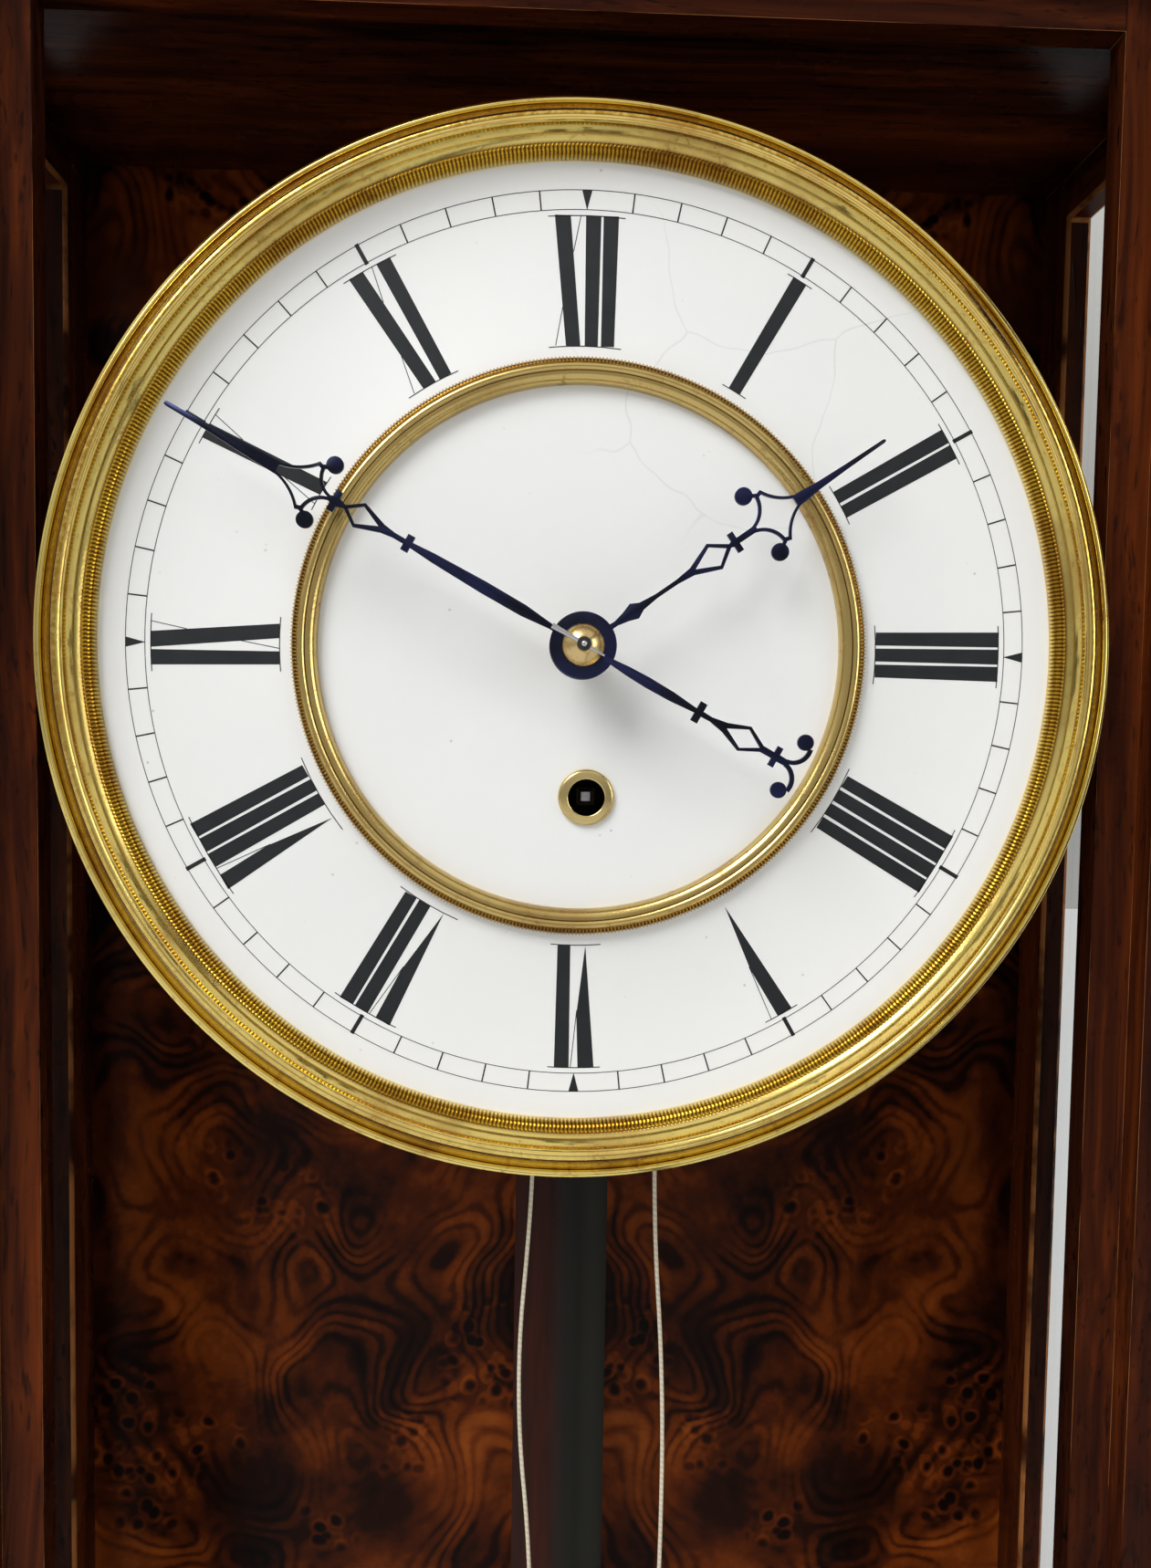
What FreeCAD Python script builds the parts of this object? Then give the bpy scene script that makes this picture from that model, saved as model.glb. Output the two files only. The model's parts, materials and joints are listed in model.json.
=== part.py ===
import FreeCAD
import Part
import math
import os
import types

import Sketcher

Vector = FreeCAD.Vector
Rotation = FreeCAD.Rotation
Placement = FreeCAD.Placement

# Wall regulator with one weight. The origin is the hanging hole on the wall plane, +Z is up,
# +X is to the right seen from the front, and the front faces -Y. All lengths are millimetres.

LENGTHS = {
    # running clearance, shaft clearance in a bore, and how far a cutting tool runs past
    "gap": 0.3,
    "fit": 0.06,
    "overrun": 2,
    # the dial's centre below the hanging hole and its face off the wall
    "dial_drop": 150,
    "dial_stand": 100,
    # carcass
    "backboard_thick": 14,
    "case_half": 120,
    "side_thick": 10,
    "side_depth": 70,
    "front_thick": 12,
    "board_thick": 14,
    "ceiling_rise": 122,
    "floor_drop": 755,
    "crown_rise": 22,
    "front_reveal": 18,
    "header_rise": 119,
    "step_width": 8,
    "step_depth": 6,
    "stile_width": 14,
    "front_stile_width": 10,
    "side_top_rail": 11,
    "side_bottom_rail": 45,
    "rabbet_width": 5,
    "rabbet_depth": 4,
    "pane_thick": 2.5,
    # crown and base
    "moulding_seat": 24,
    "moulding_fillet": 4,
    "cornice_height": 36,
    "cornice_reach": 36,
    "plinth_height": 30,
    "plinth_reach": 32,
    "roof_rise": 54,
    "roof_overhang": 4,
    "roof_thick": 8,
    "pediment_thick": 14,
    "pediment_setback": 10,
    # hanging plate
    "hanger_half": 20,
    "hanger_thick": 3,
    "hanger_up": 18,
    "hanger_down": 30,
    "hanging_hole": 5,
    "hanging_slot": 2.5,
    "hanging_slot_rise": 9,
    "head_room": 7,
    # door
    "door_gap": 1,
    "door_thick": 28,
    "door_side_gap": 1,
    "door_stile": 27,
    "door_end_gap": 4,
    "door_top_rail": 18,
    "door_bottom_rail": 36,
    "door_lip": 3.5,
    "door_rabbet": 6,
    "door_bevel": 3,
    "hinge_out": 3.5,
    "knuckle_radius": 3,
    "hinge_pin_radius": 1.4,
    "hinge_length": 50,
    "leaf_thick": 2,
    "leaf_reach": 15,
    "hook_pivot_depth": 8,
    "hook_length": 24,
    "hook_width": 7,
    "hook_thick": 1.5,
    "hook_pin_radius": 2,
    "hook_pin_depth": 8,
    "stud_length": 6,
    "stud_radius": 1.5,
    "stud_head": 3,
    # dial
    "enamel_radius": 88.6,
    "enamel_thick": 1.8,
    "dial_plate_thick": 1.5,
    "dial_plate_radius": 94,
    "bezel_radius": 98.3,
    "bezel_inner": 87,
    "bezel_height": 8,
    "bezel_back": 3.3,
    "centre_radius": 50,
    "ring_outer": 52.2,
    "ring_inner": 47.6,
    "ring_height": 3,
    "winding_drop": 27,
    "winding_offset": 1.5,
    "eyelet_outer": 5.2,
    "eyelet_tube": 4,
    "eyelet_inner": 3.3,
    "eyelet_height": 1.2,
    "dial_hole": 3.4,
    "foot_radius": 2.5,
    # hands and their stack in front of the dial face
    "hour_hand_reach": 64.3,
    "minute_hand_reach": 81.2,
    "hand_disc": 5.8,
    "hand_thick": 0.8,
    "hour_hand_stand": 8.2,
    "minute_hand_stand": 12,
    "collet_radius": 3.75,
    "collet_height": 3,
    "taper_pin_lead": 6.2,
    "taper_pin_tail": 4,
    "taper_pin_thick": 0.5,
    "taper_pin_thin": 0.2,
    "arbor_tip": 1.2,
    # movement frame
    "motion_space": 7.2,
    "plate_thick": 2.5,
    "plate_spacing": 34.5,
    "plate_half": 48,
    "plate_rise": 48,
    "plate_drop": 60,
    "plate_corner": 8,
    "pillar_radius": 3.5,
    "pillar_inset": 7,
    "pillar_waist": 2.6,
    "pillar_collar": 3,
    "seat_height": 8,
    "seat_width": 9,
    "seat_plate_thick": 3,
    "seat_plate_height": 30,
    # arbors and pipes
    "centre_arbor_radius": 1.2,
    "cannon_pipe": 1.85,
    "hour_neck": 2.3,
    "hour_pipe": 2.7,
    "arbor_radius": 0.9,
    "winding_arbor_radius": 2.2,
    "winding_square": 3.4,
    # wheels: module of each mesh, and face width
    "great_module": 0.56,
    "middle_module": 0.52,
    "centre_module": 0.45,
    "third_module": 0.4,
    "motion_module": 0.4,
    "motion_thick": 1,
    "wheel_thick": 1.3,
    "pinion_length": 3,
    "wheel_rim": 2.4,
    "wheel_arm": 1.6,
    "wheel_hub": 3.4,
    "hub_radius": 2.6,
    "escape_radius": 12,
    "escape_depth": 2.2,
    "escape_rim": 1.5,
    "escape_thick": 0.9,
    "ratchet_radius": 12,
    "ratchet_depth": 1.3,
    # places along the train, each measured back from the front plate
    "centre_wheel_back": 2.5,
    "barrel_back": 6,
    "barrel_length": 16.5,
    "great_wheel_back": 25,
    "middle_wheel_back": 29.6,
    "third_wheel_back": 16,
    "escape_wheel_back": 29.6,
    "barrel_radius": 17.2,
    "barrel_flange": 18.6,
    "flange_thick": 1,
    "line_diameter": 0.9,
    # escapement and pendulum
    "pallet_rise": 17,
    "pallet_clearance": 1,
    "pallet_thick": 1.6,
    "crutch_length": 78,
    "crutch_width": 5,
    "crutch_thick": 1.6,
    "crutch_boss": 3.6,
    "crutch_pin_radius": 1.2,
    "cock_reach": 6.5,
    "cock_thick": 2,
    "cock_half": 15,
    "cock_height": 8,
    "pendulum_stand": 38,
    "suspension_width": 8,
    "suspension_thick": 1,
    "suspension_rise": 16,
    "suspension_bracket_width": 26,
    "suspension_bracket_height": 24,
    "suspension_arm_height": 9,
    "hook_height": 16,
    "rod_width": 22,
    "rod_thick": 9,
    "rod_edge": 3,
    "rod_slot": 3.2,
    "rod_slot_length": 10,
    "bob_drop": 650,
    "bob_radius": 52,
    "bob_half_thick": 11,
    "bob_rim": 2,
    "rod_end_radius": 2,
    "rod_end_length": 46,
    "nut_radius": 9,
    "nut_height": 6,
    "scale_width": 110,
    "scale_height": 18,
    "scale_thick": 3,
    "scale_drop": 735,
    # weight, its pulley and the line
    "weight_stand": 72,
    "weight_offset": 6,
    "weight_radius": 21,
    "weight_height": 104,
    "weight_round": 3,
    "stirrup_width": 9,
    "stirrup_thick": 1.5,
    "stirrup_pin": 2.25,
    "stirrup_neck": 9,
    "stirrup_post": 2,
    "pulley_radius": 13,
    "pulley_rim": 15.5,
    "pulley_half": 2.4,
    "pulley_pin_radius": 1.5,
    "groove_flare": 0.6,
    "line_post_radius": 2.2,
    "line_bow": 2.6,
}

# counts of teeth and of the windows between a wheel's arms
GREAT_TEETH = 84
MIDDLE_PINION = 14
MIDDLE_TEETH = 64
CENTRE_PINION = 16
CENTRE_TEETH = 80
THIRD_PINION = 8
THIRD_TEETH = 60
ESCAPE_PINION = 8
ESCAPE_TEETH = 30
CANNON_TEETH = 12
MINUTE_TEETH = 36
MINUTE_PINION = 10
HOUR_TEETH = 40
RATCHET_TEETH = 30

# the hands stand at about ten to two, in degrees clockwise from twelve
MINUTE_ANGLE = 299
HOUR_ANGLE = 54.9
# the door stands open at rest
DOOR_OPEN = 90
THIRD_BEARING = 127.3

doc = FreeCAD.newDocument("vienna_regulator")
sheet = doc.addObject("Spreadsheet::Sheet", "sizes")


class Size:
    """A length that knows its value and the sheet expression that gives it."""

    def __init__(self, value, text):
        self.value = float(value)
        self.text = text

    def __add__(self, other):
        other = as_size(other)
        return Size(self.value + other.value, f"({self.text} + {other.text})")

    def __sub__(self, other):
        other = as_size(other)
        return Size(self.value - other.value, f"({self.text} - {other.text})")

    def __mul__(self, share):
        return Size(self.value * share, f"({self.text} * {share!r})")

    def __truediv__(self, share):
        return Size(self.value / share, f"({self.text} / {share!r})")

    def __neg__(self):
        return Size(-self.value, f"(0 - {self.text})")

    __rmul__ = __mul__


def as_size(thing):
    if isinstance(thing, Size):
        return thing
    return Size(thing, repr(float(thing)))


for row, (name, length) in enumerate(LENGTHS.items(), 1):
    sheet.set(f"A{row}", name)
    sheet.set(f"B{row}", str(length))
    sheet.setAlias(f"B{row}", name)
doc.recompute()

S = types.SimpleNamespace(**{name: Size(sheet.get(name), f"sizes.{name}") for name in LENGTHS})
parts = []


def bind(target, prop, size):
    target.setExpression(prop, as_size(size).text)


def place(target, x=0, y=0, z=0):
    bind(target, "Placement.Base.x", x)
    bind(target, "Placement.Base.y", y)
    bind(target, "Placement.Base.z", z)


def keep(target, label):
    """Mark an object as one of the clock's pieces."""
    target.Label = label
    parts.append(target)
    return target


# Primitives and booleans


def box(x, y, z):
    """A block between two values on each axis."""
    block = doc.addObject("Part::Box", "block")
    bind(block, "Length", as_size(x[1]) - x[0])
    bind(block, "Width", as_size(y[1]) - y[0])
    bind(block, "Height", as_size(z[1]) - z[0])
    place(block, x[0], y[0], z[0])
    return block


def bar(radius, y, x=0, z=0):
    """A round bar along Y, from its front y to its back y."""
    rod = doc.addObject("Part::Cylinder", "bar")
    rod.Placement.Rotation = Rotation(Vector(1, 0, 0), -90)
    bind(rod, "Radius", radius)
    bind(rod, "Height", as_size(y[1]) - y[0])
    place(rod, x, y[0], z)
    return rod


def post(radius, z, x=0, y=0):
    """A round post along Z."""
    rod = doc.addObject("Part::Cylinder", "post")
    bind(rod, "Radius", radius)
    bind(rod, "Height", as_size(z[1]) - z[0])
    place(rod, x, y, z[0])
    return rod


def peg(radius, x, y=0, z=0):
    """A round peg along X."""
    rod = doc.addObject("Part::Cylinder", "peg")
    rod.Placement.Rotation = Rotation(Vector(0, 1, 0), 90)
    bind(rod, "Radius", radius)
    bind(rod, "Height", as_size(x[1]) - x[0])
    place(rod, x[0], y, z)
    return rod


def fuse(*pieces):
    if len(pieces) == 1:
        return pieces[0]
    joined = doc.addObject("Part::MultiFuse", "fused")
    joined.Shapes = list(pieces)
    joined.Refine = True
    return joined


def cut(base, *tools):
    result = doc.addObject("Part::Cut", "cut")
    result.Base = base
    result.Tool = fuse(*tools)
    result.Refine = True
    return result


def group(*pieces):
    """Several separate solids of one kind in one node."""
    gathered = doc.addObject("Part::Compound", "group")
    gathered.Links = list(pieces)
    return gathered


# Sketched bodies


def new_body(x=0, y=0, z=0):
    body = doc.addObject("PartDesign::Body", "body")
    place(body, x, y, z)
    return body


def new_sketch(body, role, lift=0):
    sketch = body.newObject("Sketcher::SketchObject", "profile")
    plane = next(feature for feature in body.Origin.OriginFeatures if feature.Role == role)
    sketch.AttachmentSupport = (plane, [""])
    sketch.MapMode = "FlatFace"
    bind(sketch, "AttachmentOffset.Base.z", lift)
    return sketch


def pin_point(sketch, edge, end, x, y):
    for kind, size in (("DistanceX", as_size(x)), ("DistanceY", as_size(y))):
        index = sketch.addConstraint(Sketcher.Constraint(kind, -1, 1, edge, end, size.value))
        sketch.setExpression(f"Constraints[{index}]", size.text)


def flat(x, y):
    return Vector(as_size(x).value, as_size(y).value, 0)


def clockwise_arc(start, middle, end):
    return (middle - start).cross(end - middle).z < 0


def draw_loop(sketch, loop):
    """A closed loop: corners as (x, y), and (x, y, "via") for a point that an arc passes through."""
    edges = []
    for index, step in enumerate(loop):
        if len(step) == 3:
            continue
        start = flat(*step)
        after = loop[(index + 1) % len(loop)]
        if len(after) == 2:
            edge = sketch.addGeometry(Part.LineSegment(start, flat(*after)), False)
            edges.append((edge, 1, 2, step))
            continue
        middle = flat(*after[:2])
        end = flat(*loop[(index + 2) % len(loop)])
        if clockwise_arc(start, middle, end):
            edge = sketch.addGeometry(Part.Arc(end, middle, start), False)
            edges.append((edge, 2, 1, step))
        else:
            edge = sketch.addGeometry(Part.Arc(start, middle, end), False)
            edges.append((edge, 1, 2, step))
        mark = sketch.addGeometry(Part.Point(middle), True)
        pin_point(sketch, mark, 1, *after[:2])
        sketch.addConstraint(Sketcher.Constraint("PointOnObject", mark, 1, edge))
    for (edge, begin, finish, corner), (following, enter, *_) in zip(edges, edges[1:] + edges[:1]):
        sketch.addConstraint(Sketcher.Constraint("Coincident", edge, finish, following, enter))
        pin_point(sketch, edge, begin, *corner)


def draw_circle(sketch, x, y, radius):
    radius = as_size(radius)
    edge = sketch.addGeometry(Part.Circle(flat(x, y), Vector(0, 0, 1), radius.value), False)
    pin_point(sketch, edge, 3, x, y)
    index = sketch.addConstraint(Sketcher.Constraint("Radius", edge, radius.value))
    sketch.setExpression(f"Constraints[{index}]", radius.text)


def turned(loop, along="Y", x=0, y=0, z=0):
    """A turned piece: the loop gives (radius, place along the axis)."""
    body = new_body(x, y, z)
    sketch = new_sketch(body, {"Y": "XY_Plane", "Z": "XZ_Plane"}[along])
    draw_loop(sketch, loop)
    turning = body.newObject("PartDesign::Revolution", "turning")
    turning.Profile = sketch
    turning.ReferenceAxis = (sketch, ["V_Axis"])
    turning.Angle = 360
    return body


def plate(loops, y, circles=(), x=0, z=0):
    """A flat piece facing the front: loops and circles in X and Z, from its front y to its back y."""
    body = new_body(x, 0, z)
    sketch = new_sketch(body, "XZ_Plane", -as_size(y[1]))
    for loop in loops:
        draw_loop(sketch, loop)
    for circle in circles:
        draw_circle(sketch, *circle)
    pad = body.newObject("PartDesign::Pad", "pad")
    pad.Profile = sketch
    bind(pad, "Length", as_size(y[1]) - y[0])
    return body


# how far from a corner the middle of its quarter round lies, along each side
ROUND_SHARE = 0.293


def rectangle(x, y):
    return [(x[0], y[0]), (x[1], y[0]), (x[1], y[1]), (x[0], y[1])]


# Shapes that are worked out by a formula


def feature(shape, placement=None):
    holder = doc.addObject("Part::Feature", "formed")
    holder.Shape = shape
    if placement is not None:
        holder.Placement = placement
    return holder


def polygon_face(points):
    """A face in the XZ plane from (x, z) points."""
    corners = [Vector(x, 0, z) for x, z in points]
    return Part.Face(Part.makePolygon(corners + corners[:1]))


def disc_face(radius, x=0, z=0):
    return Part.Face(Part.Wire(Part.makeCircle(radius, Vector(x, 0, z), Vector(0, 1, 0))))


def toothed_outline(teeth, root, tip, shares, turn=0):
    """Points of a ring of straight-sided teeth; their widths at root and tip are shares of the pitch."""
    step = 2 * math.pi / teeth
    root_share, tip_share = shares
    points = []
    for index in range(teeth):
        centre = math.radians(turn) + index * step
        for radius, share in ((root, -root_share), (tip, -tip_share), (tip, tip_share), (root, root_share)):
            angle = centre + share * step / 2
            points.append((radius * math.sin(angle), radius * math.cos(angle)))
    return points


# widths of the teeth at root and tip, then their heights below and above the pitch circle in modules
WHEEL_TOOTH_SHARES = (0.56, 0.18)
PINION_TOOTH_SHARES = (0.42, 0.14)
DEDENDUM_SHARE = 1.15
WHEEL_ADDENDUM_SHARE = 0.8
PINION_ADDENDUM_SHARE = 0.6


def wheel_face(teeth, module, turn=0):
    pitch = module * teeth / 2
    root = pitch - DEDENDUM_SHARE * module
    tip = pitch + WHEEL_ADDENDUM_SHARE * module
    return polygon_face(toothed_outline(teeth, root, tip, WHEEL_TOOTH_SHARES, turn))


def pinion_face(teeth, module, turn=0):
    pitch = module * teeth / 2
    root = pitch - DEDENDUM_SHARE * module
    tip = pitch + PINION_ADDENDUM_SHARE * module
    return polygon_face(toothed_outline(teeth, root, tip, PINION_TOOTH_SHARES, turn))


def windows(face, hub, rim, arms, arm_width, turn=0):
    """Cut the openings between a wheel's arms."""
    ring = disc_face(rim).cut(disc_face(hub))
    for index in range(arms):
        angle = math.radians(turn) + index * 2 * math.pi / arms
        across = Vector(math.cos(angle), 0, -math.sin(angle)) * (arm_width / 2)
        out = Vector(math.sin(angle), 0, math.cos(angle)) * (rim + S.overrun.value)
        corners = [across * -1, across, across + out, across * -1 + out]
        ring = ring.cut(Part.Face(Part.makePolygon(corners + corners[:1])))
    return face.cut(ring)


def thicken(face, front, back):
    """Give a face in the XZ plane its thickness, between two places along Y."""
    moved = face.copy()
    moved.translate(Vector(0, front, 0))
    return moved.extrude(Vector(0, back - front, 0))


def drum(radius, front, back):
    return Part.makeCylinder(radius, back - front, Vector(0, front, 0), Vector(0, 1, 0))


def at(shape, x, z):
    shape.translate(Vector(x, 0, z))
    return shape


def bored(shape, radius, front, back):
    """Bore a shape along its own centre line."""
    return shape.cut(drum(radius, front - S.overrun.value, back + S.overrun.value))


def upright(shape):
    """One clean solid, facing outwards."""
    clean = shape.removeSplitter()
    solid = clean.Solids[0] if len(clean.Solids) == 1 else clean
    return solid


def mitred(profile, half, depth, seat, reach):
    """A moulding round the front and both sides of the case, mitred at the front corners.

    The profile gives (how far out, height); a third word marks a point that an arc passes through.
    """
    edges = []
    for index, step in enumerate(profile):
        if len(step) == 3:
            continue
        after = profile[(index + 1) % len(profile)]
        start = Vector(step[0], 0, step[1])
        if len(after) == 3:
            end = profile[(index + 2) % len(profile)]
            middle = Vector(after[0], 0, after[1])
            edges.append(Part.Arc(start, middle, Vector(end[0], 0, end[1])).toShape())
        else:
            edges.append(Part.LineSegment(start, Vector(after[0], 0, after[1])).toShape())
    face = Part.Face(Part.Wire(edges))
    low = min(step[1] for step in profile)
    high = max(step[1] for step in profile)
    run = 2 * (half + reach)
    beyond = S.overrun.value

    def quarter(corners):
        points = [Vector(x, y, low - beyond) for x, y in corners]
        height = high - low + 2 * beyond
        return Part.Face(Part.makePolygon(points + points[:1])).extrude(Vector(0, 0, height))

    right = face.copy()
    right.translate(Vector(half, 0, 0))
    right = right.extrude(Vector(0, -run, 0))
    right_plan = [
        (half - seat, 0),
        (half + reach, 0),
        (half + reach, -depth - reach),
        (half - seat, -depth + seat),
    ]
    right = right.common(quarter(right_plan))
    front = face.copy()
    front.rotate(Vector(0, 0, 0), Vector(0, 0, 1), -90)
    front.translate(Vector(-run / 2, -depth, 0))
    front = front.extrude(Vector(run, 0, 0))
    front_plan = [
        (-half + seat, -depth + seat),
        (half - seat, -depth + seat),
        (half + reach, -depth - reach),
        (-half - reach, -depth - reach),
    ]
    front = front.common(quarter(front_plan))
    left = right.mirror(Vector(0, 0, 0), Vector(1, 0, 0))
    return upright(front.fuse([right, left]))


# Places that several pieces share

dial_z = -S.dial_drop
dial_face = -S.dial_stand
case_outer = S.case_half + S.side_thick
opening_half = S.case_half - S.front_reveal
back_front = -S.backboard_thick
side_front = back_front - S.side_depth
case_front = side_front - S.front_thick
case_depth = S.backboard_thick + S.side_depth + S.front_thick
ceiling = dial_z + S.ceiling_rise
roofline = ceiling + S.board_thick
floor = dial_z - S.floor_drop
underside = floor - S.board_thick
header = dial_z + S.header_rise

plate_face = dial_face + S.enamel_thick
plate_rear = plate_face + S.dial_plate_thick
front_plate_front = plate_rear + S.motion_space
front_plate_back = front_plate_front + S.plate_thick
back_plate_front = front_plate_back + S.plate_spacing
back_plate_back = back_plate_front + S.plate_thick
winding_z = dial_z - S.winding_drop
pendulum_y = -S.pendulum_stand
weight_y = -S.weight_stand

hinge_x = case_outer + S.hinge_out
hinge_y = case_front - S.door_gap / 2
door_back = case_front - S.door_gap
door_front = door_back - S.door_thick
door_top = roofline - S.door_end_gap
door_foot = underside + S.door_end_gap
door_half = case_outer - S.door_side_gap
door_opening_half = door_half - S.door_stile

# how far up the door its two hinges and its hook stand
HINGE_SHARES = (0.1, 0.9)
HOOK_SHARE = 0.5


def hook_place():
    return S.hook_pivot_depth - case_depth, door_foot + (door_top - door_foot) * HOOK_SHARE


# Case


def make_backboard():
    tongue = case_outer - S.moulding_seat
    board = fuse(
        box((-case_outer, case_outer), (back_front, 0), (underside, roofline)),
        box((-tongue, tongue), (back_front, 0), (roofline, S.crown_rise)),
    )
    pocket = box(
        (-S.hanger_half, S.hanger_half), (-S.hanger_thick, S.overrun), (-S.hanger_down, S.hanger_up)
    )
    head_room = box(
        (-S.hanging_hole - S.gap, S.hanging_hole + S.gap),
        (-S.hanger_thick - S.head_room, 0),
        (-S.hanging_hole - S.gap, S.hanging_slot_rise + S.hanging_hole),
    )
    keep(cut(board, pocket, head_room), "backboard")


def make_hanger_plate():
    body = plate(
        [rectangle((-S.hanger_half, S.hanger_half), (-S.hanger_down, S.hanger_up))],
        (-S.hanger_thick, 0),
    )
    doc.recompute()
    hole = new_sketch(body, "XZ_Plane", 0)
    draw_circle(hole, 0, 0, S.hanging_hole)
    pocket = body.newObject("PartDesign::Pocket", "keyhole")
    pocket.Profile = hole
    pocket.Type = "ThroughAll"
    pocket.Midplane = True
    slot = new_sketch(body, "XZ_Plane", 0)
    draw_loop(
        slot,
        [
            (-S.hanging_slot, 0),
            (S.hanging_slot, 0),
            (S.hanging_slot, S.hanging_slot_rise),
            (0, S.hanging_slot_rise + S.hanging_slot, "via"),
            (-S.hanging_slot, S.hanging_slot_rise),
        ],
    )
    slot_pocket = body.newObject("PartDesign::Pocket", "slot")
    slot_pocket.Profile = slot
    slot_pocket.Type = "ThroughAll"
    slot_pocket.Midplane = True
    keep(body, "hanger_plate")


def across(side, near, far):
    """A span of X between two distances from the middle, on one side of the case."""
    return (near, far) if side > 0 else (-far, -near)


def make_side_frame(label, side):
    """A glazed side: the window is rebated from the outside for its pane."""
    outer = S.case_half + S.side_thick
    seat = outer - S.rabbet_depth
    frame = box(across(side, S.case_half, outer), (side_front, back_front), (floor, ceiling))
    window_y = (side_front + S.front_stile_width, back_front - S.stile_width)
    window_z = (floor + S.side_bottom_rail, ceiling - S.side_top_rail)
    window = box(across(side, S.case_half - S.overrun, seat + S.overrun), window_y, window_z)
    lip = S.rabbet_width
    pane_y = (window_y[0] - lip, window_y[1] + lip)
    pane_z = (window_z[0] - lip, window_z[1] + lip)
    rabbet = box(across(side, seat, outer + S.overrun), pane_y, pane_z)
    keep(cut(frame, window, rabbet), label)
    return box(across(side, seat, seat + S.pane_thick), pane_y, pane_z)


def make_front_frame():
    outer = box((-case_outer, case_outer), (case_front, side_front), (underside, roofline))
    opening = box(
        (-opening_half, opening_half),
        (case_front - S.overrun, side_front + S.overrun),
        (floor, header),
    )
    step = box(
        (-opening_half - S.step_width, opening_half + S.step_width),
        (case_front - S.overrun, case_front + S.step_depth),
        (floor, header + S.step_width),
    )
    pivot_y, pivot_z = hook_place()
    bore = peg(
        S.hook_pin_radius + S.fit,
        (-case_outer - S.overrun, -case_outer + S.hook_pin_depth + S.gap),
        pivot_y,
        pivot_z,
    )
    keep(cut(outer, opening, step, bore), "front_frame")


# where the middle of a moulding's cove lies, outwards and upwards
COVE_SHARES = (0.29, 0.71)


def make_cornice():
    height = S.cornice_height.value
    reach = S.cornice_reach.value
    fillet = S.moulding_fillet.value
    seat = S.moulding_seat.value
    run = reach - 2 * fillet
    rise = height - 3 * fillet
    profile = [
        (-seat, 0),
        (fillet, 0),
        (fillet, fillet),
        (fillet + COVE_SHARES[0] * run, fillet + COVE_SHARES[1] * rise, "via"),
        (reach - fillet, height - 2 * fillet),
        (reach, height - 2 * fillet),
        (reach, height),
        (-seat, height),
    ]
    shape = mitred(profile, case_outer.value, case_depth.value, seat, reach)
    keep(feature(shape, Placement(Vector(0, 0, roofline.value), Rotation())), "cornice")


def make_plinth():
    height = S.plinth_height.value
    reach = S.plinth_reach.value
    fillet = S.moulding_fillet.value
    seat = S.moulding_seat.value
    run = reach - fillet
    profile = [
        (-seat, -height),
        (fillet, -height),
        (fillet + COVE_SHARES[0] * run, -fillet - COVE_SHARES[1] * (height - fillet), "via"),
        (reach, -2 * fillet),
        (reach, 0),
        (-seat, 0),
    ]
    shape = mitred(profile, case_outer.value, case_depth.value, seat, reach)
    keep(feature(shape, Placement(Vector(0, 0, underside.value), Rotation())), "base_plinth")


def make_roof():
    """A low gable on the cornice: a front board and two sloping roof boards."""
    base = roofline + S.cornice_height
    half = case_outer + S.cornice_reach + S.roof_overhang
    front = -case_depth - S.cornice_reach
    inset = S.roof_overhang * 2
    slope = S.roof_rise.value / half.value
    foot = half - inset
    shoulder = base + inset * slope
    keep(
        plate(
            [[(-foot, base), (foot, base), (foot, shoulder), (0, base + S.roof_rise), (-foot, shoulder)]],
            (front + S.pediment_setback, front + S.pediment_setback + S.pediment_thick),
        ),
        "pediment",
    )
    slopes = []
    for side in (-1, 1):
        slopes.append(
            plate(
                [
                    [
                        (0, base + S.roof_rise),
                        (half * side, base),
                        (half * side, base + S.roof_thick),
                        (0, base + S.roof_rise + S.roof_thick),
                    ]
                ],
                (front - S.roof_overhang, 0),
            )
        )
    keep(group(*slopes), "roof_boards")


def make_case():
    make_backboard()
    make_hanger_plate()
    panes = [make_side_frame("side_frame_left", -1), make_side_frame("side_frame_right", 1)]
    keep(group(*panes), "side_glasses")
    make_front_frame()
    inner = (side_front, back_front)
    keep(box((-case_outer, case_outer), inner, (ceiling, roofline)), "top_board")
    keep(box((-case_outer, case_outer), inner, (underside, floor)), "floor_board")
    make_cornice()
    make_plinth()
    make_roof()


# Door, drawn closed and then turned open about its hinges


def swing():
    axis = Vector(hinge_x.value, hinge_y.value, 0)
    return Placement(Vector(0, 0, 0), Rotation(Vector(0, 0, 1), DOOR_OPEN), axis)


def open_door(piece):
    """Turn a piece that is drawn shut to where it stands at rest."""
    doc.recompute()
    shape = piece.Shape.copy()
    return feature(shape, swing().multiply(shape.Placement))


def hinge_centres():
    height = door_top - door_foot
    return [door_foot + height * share for share in HINGE_SHARES]


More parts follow.
